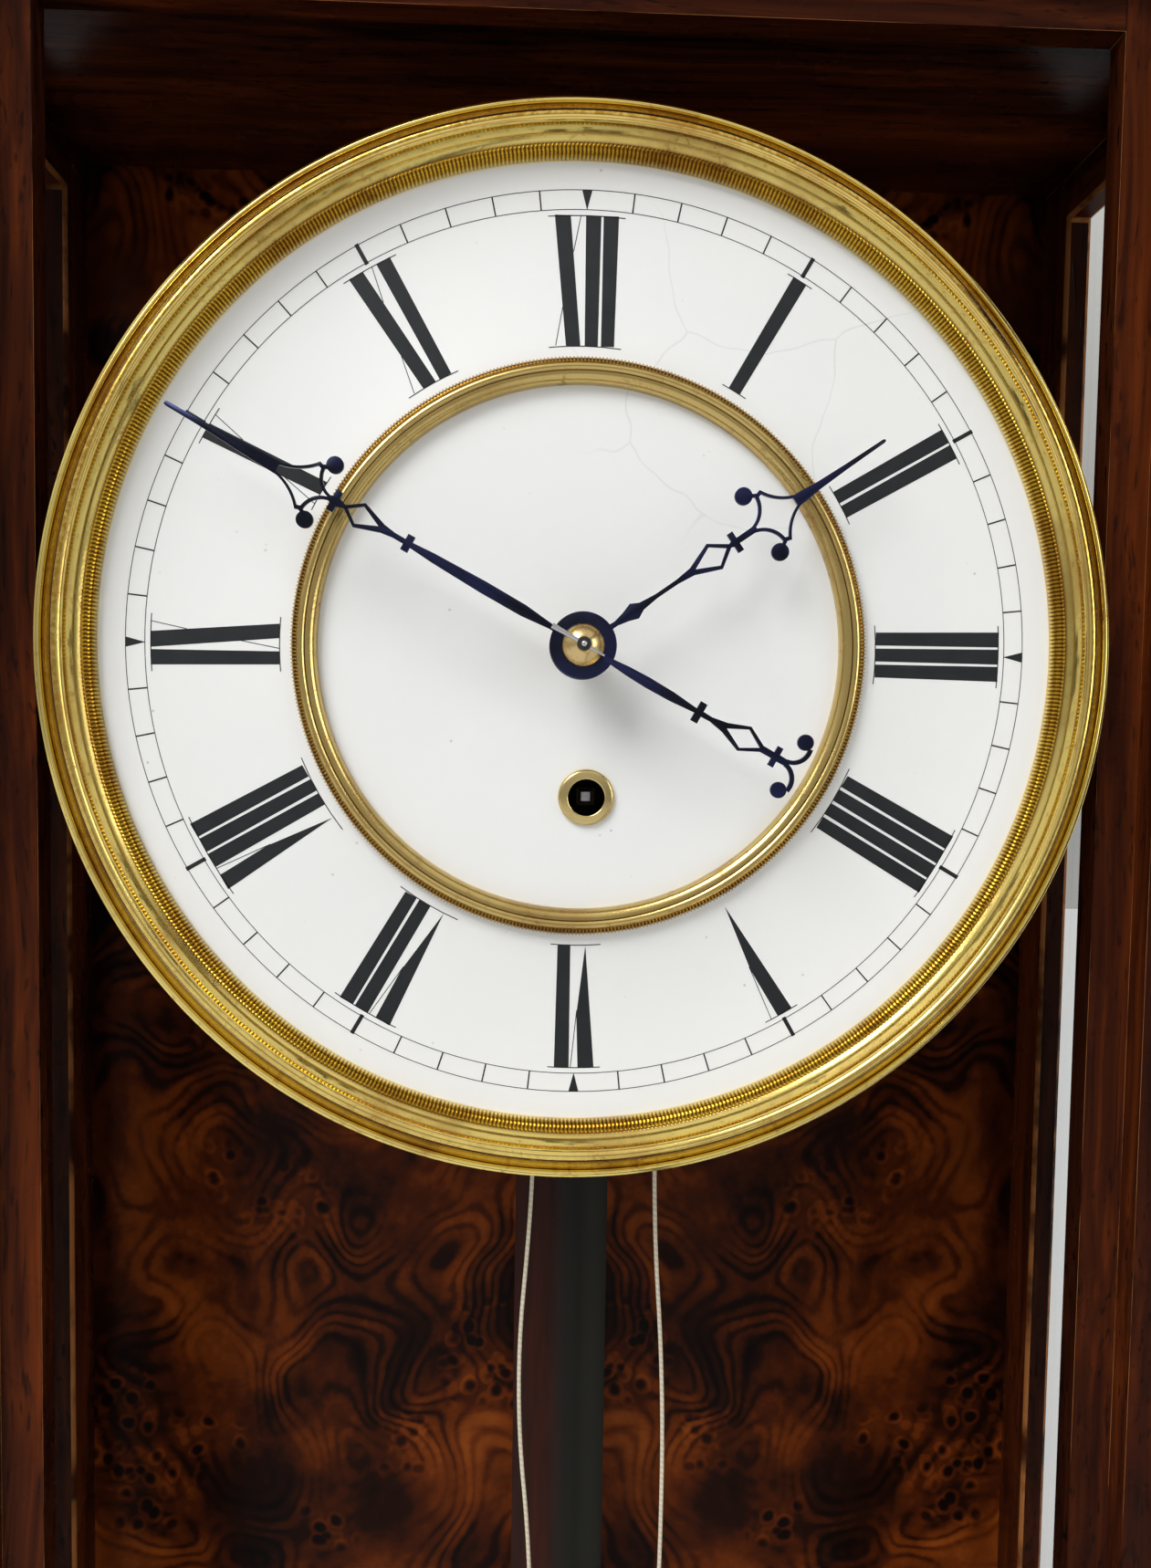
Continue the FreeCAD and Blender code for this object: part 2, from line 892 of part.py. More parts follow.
def make_door():
    outside = box((-door_half, door_half), (door_front, door_back), (door_foot, door_top))
    opening_x = (-door_opening_half, door_opening_half)
    opening_z = (door_foot + S.door_bottom_rail, door_top - S.door_top_rail)
    opening = box(opening_x, (door_front - S.overrun, door_back + S.overrun), opening_z)
    rabbet_x = (opening_x[0] - S.door_rabbet, opening_x[1] + S.door_rabbet)
    rabbet_z = (opening_z[0] - S.door_rabbet, opening_z[1] + S.door_rabbet)
    rabbet = box(rabbet_x, (door_front + S.door_lip, door_back + S.overrun), rabbet_z)
    frame = cut(outside, opening, rabbet)
    doc.recompute()
    bevelled = doc.addObject("Part::Chamfer", "bevelled")
    bevelled.Base = frame
    front = door_front.value + S.fit.value
    edges = []
    for number, edge in enumerate(frame.Shape.Edges, 1):
        if edge.BoundBox.YMax < front:
            edges.append((number, S.door_bevel.value, S.door_bevel.value))
    bevelled.Edges = edges
    keep(open_door(bevelled), "door_frame")
    glass_front = door_front + S.door_lip
    pane = box(rabbet_x, (glass_front, glass_front + S.pane_thick), rabbet_z)
    keep(open_door(pane), "door_glass")


def make_hinges():
    """Butt hinges: outer knuckles and the pin on the case, the middle knuckle on the door."""
    fixed = []
    moving = []
    third = S.hinge_length / 3
    for centre in hinge_centres():
        low = centre - S.hinge_length / 2
        high = centre + S.hinge_length / 2
        edge = low + third
        upper = high - third
        pin = post(S.hinge_pin_radius, (low, high), hinge_x, hinge_y)
        outer = [
            post(S.knuckle_radius, (low, edge - S.gap), hinge_x, hinge_y),
            post(S.knuckle_radius, (upper + S.gap, high), hinge_x, hinge_y),
        ]
        leaf_x = (case_outer, case_outer + S.leaf_thick)
        leaf = box(leaf_x, (hinge_y, hinge_y + S.leaf_reach), (low, high))
        relief = post(
            S.knuckle_radius + S.gap, (edge - S.gap, upper + S.gap), hinge_x, hinge_y
        )
        fixed.append(fuse(cut(leaf, relief), *outer, pin))
        middle = post(S.knuckle_radius, (edge, upper), hinge_x, hinge_y)
        strap_x = (door_half, door_half + S.leaf_thick)
        strap = box(strap_x, (hinge_y - S.leaf_reach, hinge_y), (edge, upper))
        bore = post(S.hinge_pin_radius + S.fit, (edge - S.gap, upper + S.gap), hinge_x, hinge_y)
        moving.append(cut(fuse(middle, strap), bore))
    keep(group(*fixed), "hinge_posts")
    pivot_y, hook_z = hook_place()
    stud_y = pivot_y - S.hook_length
    stud_end = -door_half - S.stud_length
    stud = fuse(
        peg(S.stud_radius, (stud_end, -door_half), stud_y, hook_z),
        peg(S.stud_head, (stud_end, stud_end + S.hook_thick), stud_y, hook_z),
    )
    keep(open_door(group(*moving, stud)), "door_fittings")


def make_hook():
    """A flat hook on the case's left side, hanging down while the door is open."""
    pivot_y, hook_z = hook_place()
    outer = -case_outer - S.gap
    body = new_body(outer - S.hook_thick, pivot_y, hook_z)
    sketch = new_sketch(body, "YZ_Plane")
    half = S.hook_width / 2
    throat = S.hook_pin_radius + S.gap * 2
    draw_loop(
        sketch,
        [
            (-half, 0),
            (0, half, "via"),
            (half, 0),
            (half, -S.hook_length + throat),
            (-S.hook_pin_radius, -S.hook_length + throat),
            (-S.hook_pin_radius, -S.hook_length - throat),
            (half, -S.hook_length - throat),
            (half, -S.hook_length - half - throat),
            (-half, -S.hook_length - half - throat),
        ],
    )
    pad = body.newObject("PartDesign::Pad", "pad")
    pad.Profile = sketch
    bind(pad, "Length", S.hook_thick)
    pivot = peg(
        S.hook_pin_radius,
        (outer - S.hook_thick * 2, outer + S.gap + S.hook_pin_depth),
        pivot_y,
        hook_z,
    )
    return fuse(body, pivot)


# Dial


def ring_profile(inner, outer, front, back):
    return [(inner, front), (outer, front), (outer, back), (inner, back)]


# how far up and down the dial plate its feet stand, as shares of the plates' height above the centre
FEET_SHARES = (-0.75, 0.6)
# how far out each step of the centre ring and of the eyelet lies across its width, and its height
RING_SHARES = {
    "wall": (0, 0.35),
    "round": (0.16, 0.88),
    "crest": (0.5, 1),
    "edge": (0.72, 1),
    "groove": (0.76, 0.82),
    "rim": (1, 0.3),
}
EYELET_SHARES = {"flat": 0.6, "rim": 0.4}


def make_dial():
    plate_body = turned(ring_profile(S.dial_hole, S.dial_plate_radius, plate_face, plate_rear), z=dial_z)
    winding_hole = bar(
        S.eyelet_tube, (plate_face - S.overrun, plate_rear + S.overrun), S.winding_offset, winding_z
    )
    feet = []
    for side in (-1, 1):
        for share in FEET_SHARES:
            feet.append(
                bar(
                    S.foot_radius,
                    (plate_rear, front_plate_front),
                    (S.plate_half - S.pillar_inset) * side,
                    dial_z + S.plate_rise * share,
                )
            )
    keep(fuse(cut(plate_body, winding_hole), *feet), "dial_plate")
    keep(
        turned(ring_profile(S.centre_radius + S.gap / 2, S.enamel_radius, dial_face, plate_face), z=dial_z),
        "chapter_ring",
    )
    disc = turned(ring_profile(S.dial_hole, S.centre_radius, dial_face, plate_face), z=dial_z)
    hole = bar(
        S.eyelet_tube, (dial_face - S.overrun, plate_face + S.overrun), S.winding_offset, winding_z
    )
    keep(cut(disc, hole), "centre_disc")
    width = S.ring_outer - S.ring_inner

    def step(name, *via):
        out, up = RING_SHARES[name]
        return (S.ring_inner + width * out, dial_face - S.ring_height * up, *via)

    keep(
        turned(
            [
                (S.ring_inner, dial_face),
                step("wall"),
                step("round", "via"),
                step("crest"),
                step("edge"),
                step("groove"),
                step("rim"),
                (S.ring_outer, dial_face),
            ],
            z=dial_z,
        ),
        "centre_ring",
    )
    make_bezel()
    rim = dial_face - S.eyelet_height
    keep(
        turned(
            [
                (S.eyelet_inner, rim),
                (S.eyelet_inner + (S.eyelet_outer - S.eyelet_inner) * EYELET_SHARES["flat"], rim),
                (S.eyelet_outer, dial_face - S.eyelet_height * EYELET_SHARES["rim"]),
                (S.eyelet_outer, dial_face),
                (S.eyelet_tube, dial_face),
                (S.eyelet_tube, plate_rear),
                (S.eyelet_inner, plate_rear),
            ],
            x=S.winding_offset,
            z=winding_z,
        ),
        "winding_eyelet",
    )


# how far out each step of the bezel lies between its bore and its rim, and its height
BEZEL_SHARES = {
    "lip": (0, 0.06),
    "milled": (0.13, 0.36),
    "scotia": (0.21, 0.34),
    "hollow": (0.33, 0.56),
    "bead": (0.38, 0.88),
    "bead_top": (0.44, 1),
    "bead_end": (0.52, 0.9),
    "cove": (0.66, 0.44),
    "cove_end": (0.79, 0.2),
    "rib": (0.84, 0.3),
    "rib_end": (0.9, 0.16),
    "flange": (0.91, 0.03),
    "rim": (1, 0),
}


def make_bezel():
    width = S.bezel_radius - S.bezel_inner

    def step(name, *via):
        out, up = BEZEL_SHARES[name]
        return (S.bezel_inner + width * out, dial_face - S.bezel_height * up, *via)

    seat = dial_face - S.gap
    back = dial_face + S.bezel_back
    keep(
        turned(
            [
                (S.bezel_inner, seat),
                step("lip"),
                step("milled"),
                step("scotia"),
                step("hollow", "via"),
                step("bead"),
                step("bead_top", "via"),
                step("bead_end"),
                step("cove", "via"),
                step("cove_end"),
                step("rib", "via"),
                step("rib_end"),
                step("flange"),
                step("rim"),
                (S.bezel_radius, back),
                (S.dial_plate_radius, back),
                (S.dial_plate_radius, plate_face),
                (S.enamel_radius, plate_face),
                (S.enamel_radius, seat),
            ],
            z=dial_z,
        ),
        "bezel",
    )


# Hands, drawn pointing up: stations run out from the hub and half widths go across, both as
# hundredths of the hand's reach

MINUTE_SHARES = {
    "stems": [
        [(4, 0.6), (8, 0.6), (14.6, 1.25), (24.3, 1.31), (36.4, 0.97), (41.7, 0.6)],
        [(41.7, 1.82), (43.3, 1.82)],
        [(43.2, 0.56), (45.9, 0.56), (49.3, 1.05)],
        [(59.2, 2.3), (60.7, 2.3)],
        [(57.2, 0.3), (59.2, 0.95), (60.8, 0.8), (61.2, 0.55)],
        [(73.5, 1.35), (78.6, 1.22), (88, 0.79), (91.6, 0.6), (99.5, 0.48), (100, 0.3)],
        [(-4, 0.6), (-6.7, 0.6), (-11, 0.97), (-15.8, 1.15), (-21.8, 1.03), (-27.8, 0.51)],
        [(-27.7, 2.3), (-29.3, 2.3)],
        [(-29.2, 0.6), (-31.5, 0.51), (-35.3, 1.2)],
        [(-43.9, 0.75), (-47, 0.72)],
        [(-46.9, 2.3), (-48.2, 2.3)],
        [(-48.1, 0.8), (-50.6, 0.7)],
    ],
    "lozenges": [
        ([(48.8, 1.03), (54.1, 2.83), (57.6, 0.35)], [(49.5, 0), (54.1, 2.06), (56.8, 0)]),
        ([(-44.2, 0.72), (-39.8, 2.97), (-35, 1.15)], [(-43.7, 0), (-39.8, 2.25), (-35.4, 0)]),
    ],
    "arms": [
        (0.55, (74.6, 0.85), (69.8, 2.35), (66.3, 5.3)),
        (0.85, (66.6, 5.2), (65.2, 4.75)),
        (0.65, (65.3, 4.9), (64.3, 2.1), (60.9, 0.2)),
        (0.8, (65.6, 4.9), (64, 5.7)),
        (0.95, (-50.2, 0.35), (-52.8, 1.9), (-53.4, 5.1)),
    ],
    "balls": [(63.5, 6.5, 1.8), (-51.7, 5.85, 1.75)],
}

HOUR_SHARES = {
    "stems": [
        [(6, 0.9), (11.2, 0.7), (14.4, 1.4), (17.2, 2.35), (19.6, 1.1)],
        [(19.4, 1.15), (24.5, 0.58), (31.4, 0.61), (37.2, 1.25)],
        [(49.7, 2.95), (51.4, 2.95)],
        [(48.4, 0.35), (49.7, 0.9), (51.2, 0.85), (57.5, 0.9)],
        [(70.4, 1.7), (73.3, 1.53), (78.2, 1.05), (87.4, 0.7), (99.4, 0.5), (100, 0.3)],
    ],
    "lozenges": [
        ([(36.6, 1.25), (43.7, 4.05), (49, 0.4)], [(37.4, 0), (43.7, 3), (47.7, 0)]),
    ],
    "arms": [
        (0.75, (72, 0.95), (67, 3.5), (63.6, 7.7)),
        (1.1, (64, 7.5), (62, 6.9)),
        (0.9, (62.2, 7.1), (60.6, 3), (56.4, 0.4)),
        (1, (62.4, 7.2), (60.4, 8.4)),
    ],
    "balls": [(59.3, 9.05, 2.42)],
}


def tapered(stations):
    """A bar that is alike on both sides of the hand's line."""
    right = [(half, along) for along, half in stations]
    left = [(-half, along) for along, half in reversed(stations)]
    return polygon_face(right + left)


def strip(width, *places):
    """A strip of one width through (along, across) places: straight for two, an arc for three."""
    points = [Vector(across, 0, along) for along, across in places]
    if len(points) == 2:
        side = (points[1] - points[0]).cross(Vector(0, 1, 0)).normalize() * (width / 2)
        corners = [points[0] + side, points[1] + side, points[1] - side, points[0] - side]
        return Part.Face(Part.makePolygon(corners + corners[:1]))
    centre = Part.Arc(*points).toShape().Curve.Center
    outward = []
    inward = []
    for point in points:
        direction = (point - centre).normalize()
        outward.append(point + direction * (width / 2))
        inward.append(point - direction * (width / 2))
    edges = [
        Part.Arc(*outward).toShape(),
        Part.LineSegment(outward[2], inward[2]).toShape(),
        Part.Arc(*reversed(inward)).toShape(),
        Part.LineSegment(inward[0], outward[0]).toShape(),
    ]
    return Part.Face(Part.Wire(edges))


def hand_shape(shares, reach, thick, bore, hub):
    """The flat steel hand at its real size, its back on the XZ plane."""
    faces = [tapered(stations) for stations in shares["stems"]]
    for outer, inner in shares["lozenges"]:
        faces.append(tapered(outer).cut(tapered(inner)))
    for width, *places in shares["arms"]:
        arm = strip(width, *places)
        faces.append(arm)
        faces.append(arm.mirror(Vector(0, 0, 0), Vector(1, 0, 0)))
    for along, across, radius in shares["balls"]:
        faces.append(disc_face(radius, across, along))
        faces.append(disc_face(radius, -across, along))
    scale = reach / 100
    solids = []
    for face in faces:
        face.scale(scale)
        solids.append(face.extrude(Vector(0, -thick, 0)))
    disc = disc_face(hub).extrude(Vector(0, -thick, 0))
    hand = disc.fuse(solids)
    hand = hand.cut(drum(bore, -2 * thick, thick))
    return upright(hand)


def clockwise(angle):
    """Turn from twelve o'clock, clockwise seen from the front."""
    return Rotation(Vector(0, 1, 0), angle)


# the collet's waist across and along, and how far its tip stands out round the arbor
COLLET_SHARES = {"waist": (0.85, 0.6), "tip": 1.25}


def make_hands():
    hour_back = (dial_face - S.hour_hand_stand).value
    hour = hand_shape(
        HOUR_SHARES, S.hour_hand_reach.value, S.hand_thick.value, S.hour_neck.value, S.hand_disc.value
    )
    centre = Vector(0, hour_back, dial_z.value)
    keep(feature(hour, Placement(centre, clockwise(HOUR_ANGLE))), "hour_hand")
    minute_back = (dial_face - S.minute_hand_stand).value
    minute = hand_shape(
        MINUTE_SHARES,
        S.minute_hand_reach.value,
        S.hand_thick.value,
        S.centre_arbor_radius.value,
        S.hand_disc.value,
    )
    centre = Vector(0, minute_back, dial_z.value)
    keep(feature(minute, Placement(centre, clockwise(MINUTE_ANGLE))), "minute_hand")
    hand_front = dial_face - S.minute_hand_stand - S.hand_thick
    collet_front = hand_front - S.collet_height
    pin_clear = S.taper_pin_thick + S.fit
    waist = COLLET_SHARES["waist"]
    keep(
        turned(
            [
                (S.centre_arbor_radius, hand_front),
                (S.collet_radius, hand_front),
                (S.collet_radius * waist[0], hand_front - S.collet_height * waist[1], "via"),
                (S.centre_arbor_radius * COLLET_SHARES["tip"], collet_front),
                (S.centre_arbor_radius, collet_front),
            ],
            z=dial_z,
        ),
        "hand_collet",
    )
    pin_y = (collet_front - pin_clear).value
    length = (S.taper_pin_lead + S.taper_pin_tail).value
    pin = Part.makeCone(
        S.taper_pin_thin.value, S.taper_pin_thick.value, length, Vector(0, 0, -S.taper_pin_tail.value)
    )
    pin.Placement = Placement(Vector(0, pin_y, 0), clockwise(MINUTE_ANGLE))
    keep(feature(at(pin.copy(), *centre_place())), "taper_pin")
    return pin


# Movement


def make_plates():
    """Two brass plates held apart by four turned pillars."""
    half, rise, drop, corner = S.plate_half, S.plate_rise, S.plate_drop, S.plate_corner
    outline = [
        (-half, -drop),
        (half, -drop),
        (half, rise - corner),
        (half - corner * ROUND_SHARE, rise - corner * ROUND_SHARE, "via"),
        (half - corner, rise),
        (-half + corner, rise),
        (-half + corner * ROUND_SHARE, rise - corner * ROUND_SHARE, "via"),
        (-half, rise - corner),
    ]
    for label, span in (
        ("front_plate", (front_plate_front, front_plate_back)),
        ("back_plate", (back_plate_front, back_plate_back)),
    ):
        board = plate([outline], span, z=dial_z)
        through = (span[0] - S.overrun, span[1] + S.overrun)
        holes = []
        for (x, z), radius in pivot_places():
            holes.append(bar(radius, through, x, z))
        pierced = cut(board, *holes)
        if label == "front_plate":
            x, z = minute_wheel_place()
            pierced = fuse(pierced, bar(S.arbor_radius, (motion_places()[2], span[0]), x, z))
        keep(pierced, label)
    pillars = []
    inset = S.pillar_inset
    collar = S.pillar_collar
    for side in (-1, 1):
        for height in (S.plate_rise - inset, -S.plate_drop + inset):
            pillars.append(
                turned(
                    [
                        (0, front_plate_back),
                        (S.pillar_radius, front_plate_back),
                        (S.pillar_radius, front_plate_back + collar),
                        (S.pillar_waist, front_plate_back + collar * 2),
                        (S.pillar_waist, back_plate_front - collar * 2),
                        (S.pillar_radius, back_plate_front - collar),
                        (S.pillar_radius, back_plate_front),
                        (0, back_plate_front),
                    ],
                    x=(S.plate_half - inset) * side,
                    z=dial_z + height,
                )
            )
    line_x = S.weight_offset - S.pulley_radius
    pillars.append(bar(S.line_post_radius, (front_plate_back, back_plate_front), line_x, line_post_z()))
    keep(group(*pillars), "plate_pillars")


def line_post_z():
    return dial_z - S.plate_drop + S.pillar_inset


def centre_place():
    return 0.0, dial_z.value


def barrel_place():
    return S.winding_offset.value, winding_z.value


def meeting_point(first, first_radius, second, second_radius, side):
    """Where two circles cross, on the given side of the line between their centres."""
    run = second[0] - first[0]
    rise = second[1] - first[1]
    apart = math.hypot(run, rise)
    along = (first_radius**2 - second_radius**2 + apart**2) / (2 * apart)
    off = side * math.sqrt(first_radius**2 - along**2)
    return (
        first[0] + (along * run + off * rise) / apart,
        first[1] + (along * rise - off * run) / apart,
    )


def middle_place():
    near = S.great_module.value * (GREAT_TEETH + MIDDLE_PINION) / 2
    far = S.middle_module.value * (MIDDLE_TEETH + CENTRE_PINION) / 2
    return meeting_point(barrel_place(), near, centre_place(), far, 1)


def third_place():
    reach = S.centre_module.value * (CENTRE_TEETH + THIRD_PINION) / 2
    angle = math.radians(THIRD_BEARING)
    return reach * math.cos(angle), dial_z.value + reach * math.sin(angle)


def escape_place():
    reach = S.third_module.value * (THIRD_TEETH + ESCAPE_PINION) / 2
    x, z = third_place()
    return 0.0, z + math.sqrt(reach**2 - x**2)


def anchor_place():
    x, z = escape_place()
    return x, z + S.pallet_rise.value


def minute_wheel_place():
    reach = S.motion_module.value * (CANNON_TEETH + MINUTE_TEETH) / 2
    return -reach, dial_z.value


def pivot_places():
    """Centres and radii of the pivot holes in the plates."""
    thin = (middle_place(), third_place(), escape_place(), anchor_place())
    places = [(centre, S.arbor_radius + S.fit) for centre in thin]
    places.append((barrel_place(), S.winding_arbor_radius + S.fit))
    places.append((centre_place(), S.centre_arbor_radius + S.fit))
    return places


def behind_front(back):
    """A place along Y, measured back from the front plate's inner face."""
    return (front_plate_back + back).value


def pivots():
    """The run of an arbor through both plates."""
    return front_plate_front.value, back_plate_back.value


def wheel_body(teeth, module, front, arms, turn=0):
    """A brass wheel about its own centre, crossed out where it has arms."""
    face = wheel_face(teeth, module, turn)
    rim = teeth * module / 2 - DEDENDUM_SHARE * module - S.wheel_rim.value
    if arms:
        face = windows(face, S.wheel_hub.value, rim, arms, S.wheel_arm.value, turn)
    return thicken(face, front, front + S.wheel_thick.value)


def pinion_body(teeth, module, wheel_front, turn):
    """A pinion centred on the wheel that it meets."""
    middle = wheel_front + S.wheel_thick.value / 2
    half = S.pinion_length.value / 2
    return thicken(pinion_face(teeth, module, turn), middle - half, middle + half)


def make_great_wheel(click_stud):
    """The great wheel runs loose on the winding arbor and carries the click."""
    front = behind_front(S.great_wheel_back)
    back = front + S.wheel_thick.value
    shape = wheel_body(GREAT_TEETH, S.great_module.value, front, 0)
    shape = bored(shape.fuse(click_stud), S.winding_arbor_radius.value + S.fit.value, front, back)
    keep(feature(at(upright(shape), *barrel_place())), "great_wheel")


def make_middle_wheel():
    first, last = pivots()
    great_front = behind_front(S.great_wheel_back)
    turn = mesh_turn(barrel_place(), GREAT_TEETH, middle_place(), MIDDLE_PINION, 0)
    leaf = pinion_body(MIDDLE_PINION, S.great_module.value, great_front, turn)
    front = behind_front(S.middle_wheel_back)
    wheel = wheel_body(MIDDLE_TEETH, S.middle_module.value, front, 4)
    shape = wheel.fuse([leaf, drum(S.arbor_radius.value, first, last)])
    keep(feature(at(upright(shape), *middle_place())), "middle_wheel")


def make_centre(taper_pin):
    """The centre arbor with its pinion, and the centre wheel on it."""
    arbor = S.centre_arbor_radius.value
    turn = mesh_turn(middle_place(), MIDDLE_TEETH, centre_place(), CENTRE_PINION, 0)
    leaf = pinion_body(CENTRE_PINION, S.middle_module.value, behind_front(S.middle_wheel_back), turn)
    hands = S.minute_hand_stand + S.hand_thick + S.collet_height + S.arbor_tip
    shaft = drum(arbor, (dial_face - hands).value, pivots()[1])
    keep(feature(at(upright(shaft.fuse(leaf).cut(taper_pin)), *centre_place())), "centre_arbor")
    front = behind_front(S.centre_wheel_back)
    back = front + 2 * S.wheel_thick.value
    wheel = wheel_body(CENTRE_TEETH, S.centre_module.value, front, 4)
    wheel = bored(wheel.fuse(drum(S.hub_radius.value, front, back)), arbor, front, back)
    keep(feature(at(upright(wheel), *centre_place())), "centre_wheel")


def make_third_wheel():
    first, last = pivots()
    turn = mesh_turn(centre_place(), CENTRE_TEETH, third_place(), THIRD_PINION, 0)
    leaf = pinion_body(THIRD_PINION, S.centre_module.value, behind_front(S.centre_wheel_back), turn)
    wheel = wheel_body(THIRD_TEETH, S.third_module.value, behind_front(S.third_wheel_back), 4)
    shape = wheel.fuse([leaf, drum(S.arbor_radius.value, first, last)])
    keep(feature(at(upright(shape), *third_place())), "third_wheel")


def make_escape_wheel():
    first, last = pivots()
    turn = mesh_turn(third_place(), THIRD_TEETH, escape_place(), ESCAPE_PINION, 0)
    leaf = pinion_body(ESCAPE_PINION, S.third_module.value, behind_front(S.third_wheel_back), turn)
    front = behind_front(S.escape_wheel_back)
    wheel = thicken(escape_face(), front, front + S.escape_thick.value)
    shape = wheel.fuse([leaf, drum(S.arbor_radius.value, first, last)])
    keep(feature(at(upright(shape), *escape_place())), "escape_wheel")


def make_train(taper_pin):
    make_barrel()
    make_great_wheel(make_click())
    make_middle_wheel()
    make_centre(taper_pin)
    make_third_wheel()
    make_escape_wheel()


def mesh_turn(driver, driver_teeth, driven, driven_teeth, driver_turn):
    """How far to turn the driven wheel so that a gap faces the driver's tooth."""
    bearing = math.degrees(math.atan2(driven[0] - driver[0], driven[1] - driver[1]))
    driver_step = 360 / driver_teeth
    driven_step = 360 / driven_teeth
    off = (bearing - driver_turn) % driver_step
    facing = bearing + 180
    return facing + driven_step / 2 + off * driver_teeth / driven_teeth


# the corners of an escape tooth, in turn at the root, the tip, the tip and the root, as shares of the pitch
ESCAPE_SHARES = (0, 0.42, 0.5, 0.38)


def escape_face():
    """Pointed dead-beat teeth, raked forward."""
    radius = S.escape_radius.value
    root = radius - S.escape_depth.value
    step = 2 * math.pi / ESCAPE_TEETH
    points = []
    for index in range(ESCAPE_TEETH):
        angle = index * step
        for r, share in zip((root, radius, radius, root), ESCAPE_SHARES):
            points.append((r * math.sin(angle + share * step), r * math.cos(angle + share * step)))
    face = polygon_face(points)
    return windows(face, S.hub_radius.value, root - S.escape_rim.value, 4, S.wheel_arm.value)


def make_barrel():
    """The line drum and its winding arbor in one, with the ratchet wheel behind it."""
    front = behind_front(S.barrel_back)
    back = front + S.barrel_length.value
    flange = S.flange_thick.value
    arbor = S.winding_arbor_radius.value
    shape = drum(S.barrel_radius.value, front, back)
    shape = shape.fuse(
        [
            drum(S.barrel_flange.value, front, front + flange),
            drum(S.barrel_flange.value, back - flange, back),
            drum(arbor, front_plate_front.value, pivots()[1]),
            winding_square(),
        ]
    )
    keep(feature(at(upright(shape), *barrel_place())), "barrel")
    radius = S.ratchet_radius.value
    root = radius - S.ratchet_depth.value
    points = []
    step = 2 * math.pi / RATCHET_TEETH
    for index in range(RATCHET_TEETH):
        for r, angle in ((root, index * step), (radius, (index + 1) * step)):
            points.append((r * math.sin(angle), r * math.cos(angle)))
    front, back = ratchet_span()
    ratchet = bored(thicken(polygon_face(points), front, back), arbor, front, back)
    keep(feature(at(upright(ratchet), *barrel_place())), "ratchet_wheel")


def ratchet_span():
    front = behind_front(S.barrel_back) + S.barrel_length.value
    return front, behind_front(S.great_wheel_back) - S.gap.value


def winding_square():
    """The squared end of the winding arbor, behind its hole in the dial."""
    half = S.winding_square.value / 2
    front = (plate_rear - S.gap).value
    back = front_plate_front.value
    block = Part.makeBox(2 * half, back - front, 2 * half, Vector(-half, front, -half))
    return block.common(drum(S.winding_arbor_radius.value, front, back))


# the click's bearing from the barrel in degrees clockwise, then its pivot's distance, its width
# and its reach as shares of the ratchet's radius, and its nose as shares of that width
CLICK_BEARING = -60
CLICK_SHARES = {"pivot": 1.42, "width": 0.16, "reach": 0.95, "nose": (0.1, 0.25)}


def click_pivot():
    bearing = math.radians(CLICK_BEARING)
    out = Vector(math.sin(bearing), 0, math.cos(bearing))
    return out * S.ratchet_radius.value * CLICK_SHARES["pivot"], out


def make_click():
    """The pawl rides clear of the ratchet's tips. Its stud belongs to the great wheel."""
    radius = S.ratchet_radius.value
    pivot, out = click_pivot()
    stud = S.arbor_radius.value
    width = radius * CLICK_SHARES["width"]
    along = Vector(-out.z, 0, out.x) * radius * CLICK_SHARES["reach"]
    above, below = CLICK_SHARES["nose"]
    corners = [
        pivot + out * width,
        pivot + along + out * width * above,
        pivot + along - out * width * below,
        pivot - out * width,
    ]
    face = Part.Face(Part.makePolygon(corners + corners[:1])).fuse(disc_face(width, pivot.x, pivot.z))
    face = face.cut(disc_face(radius + S.gap.value))
    face = face.cut(disc_face(stud + S.fit.value, pivot.x, pivot.z))
    front, back = ratchet_span()
    click = thicken(face.removeSplitter(), front + S.gap.value, back)
    keep(feature(at(upright(click), *barrel_place())), "click")
    return at(drum(stud, front + S.gap.value, back + S.gap.value), pivot.x, pivot.z)


# how long the minute wheel's pinion is, in thicknesses of the motion wheels
MINUTE_PINION_SHARE = 2.4


def motion_places():
    """Along Y: the minute wheel's front and back, and the front of its pinion."""
    back = (front_plate_front - S.gap * 3).value
    front = back - S.motion_thick.value
    return front, back, front - MINUTE_PINION_SHARE * S.motion_thick.value


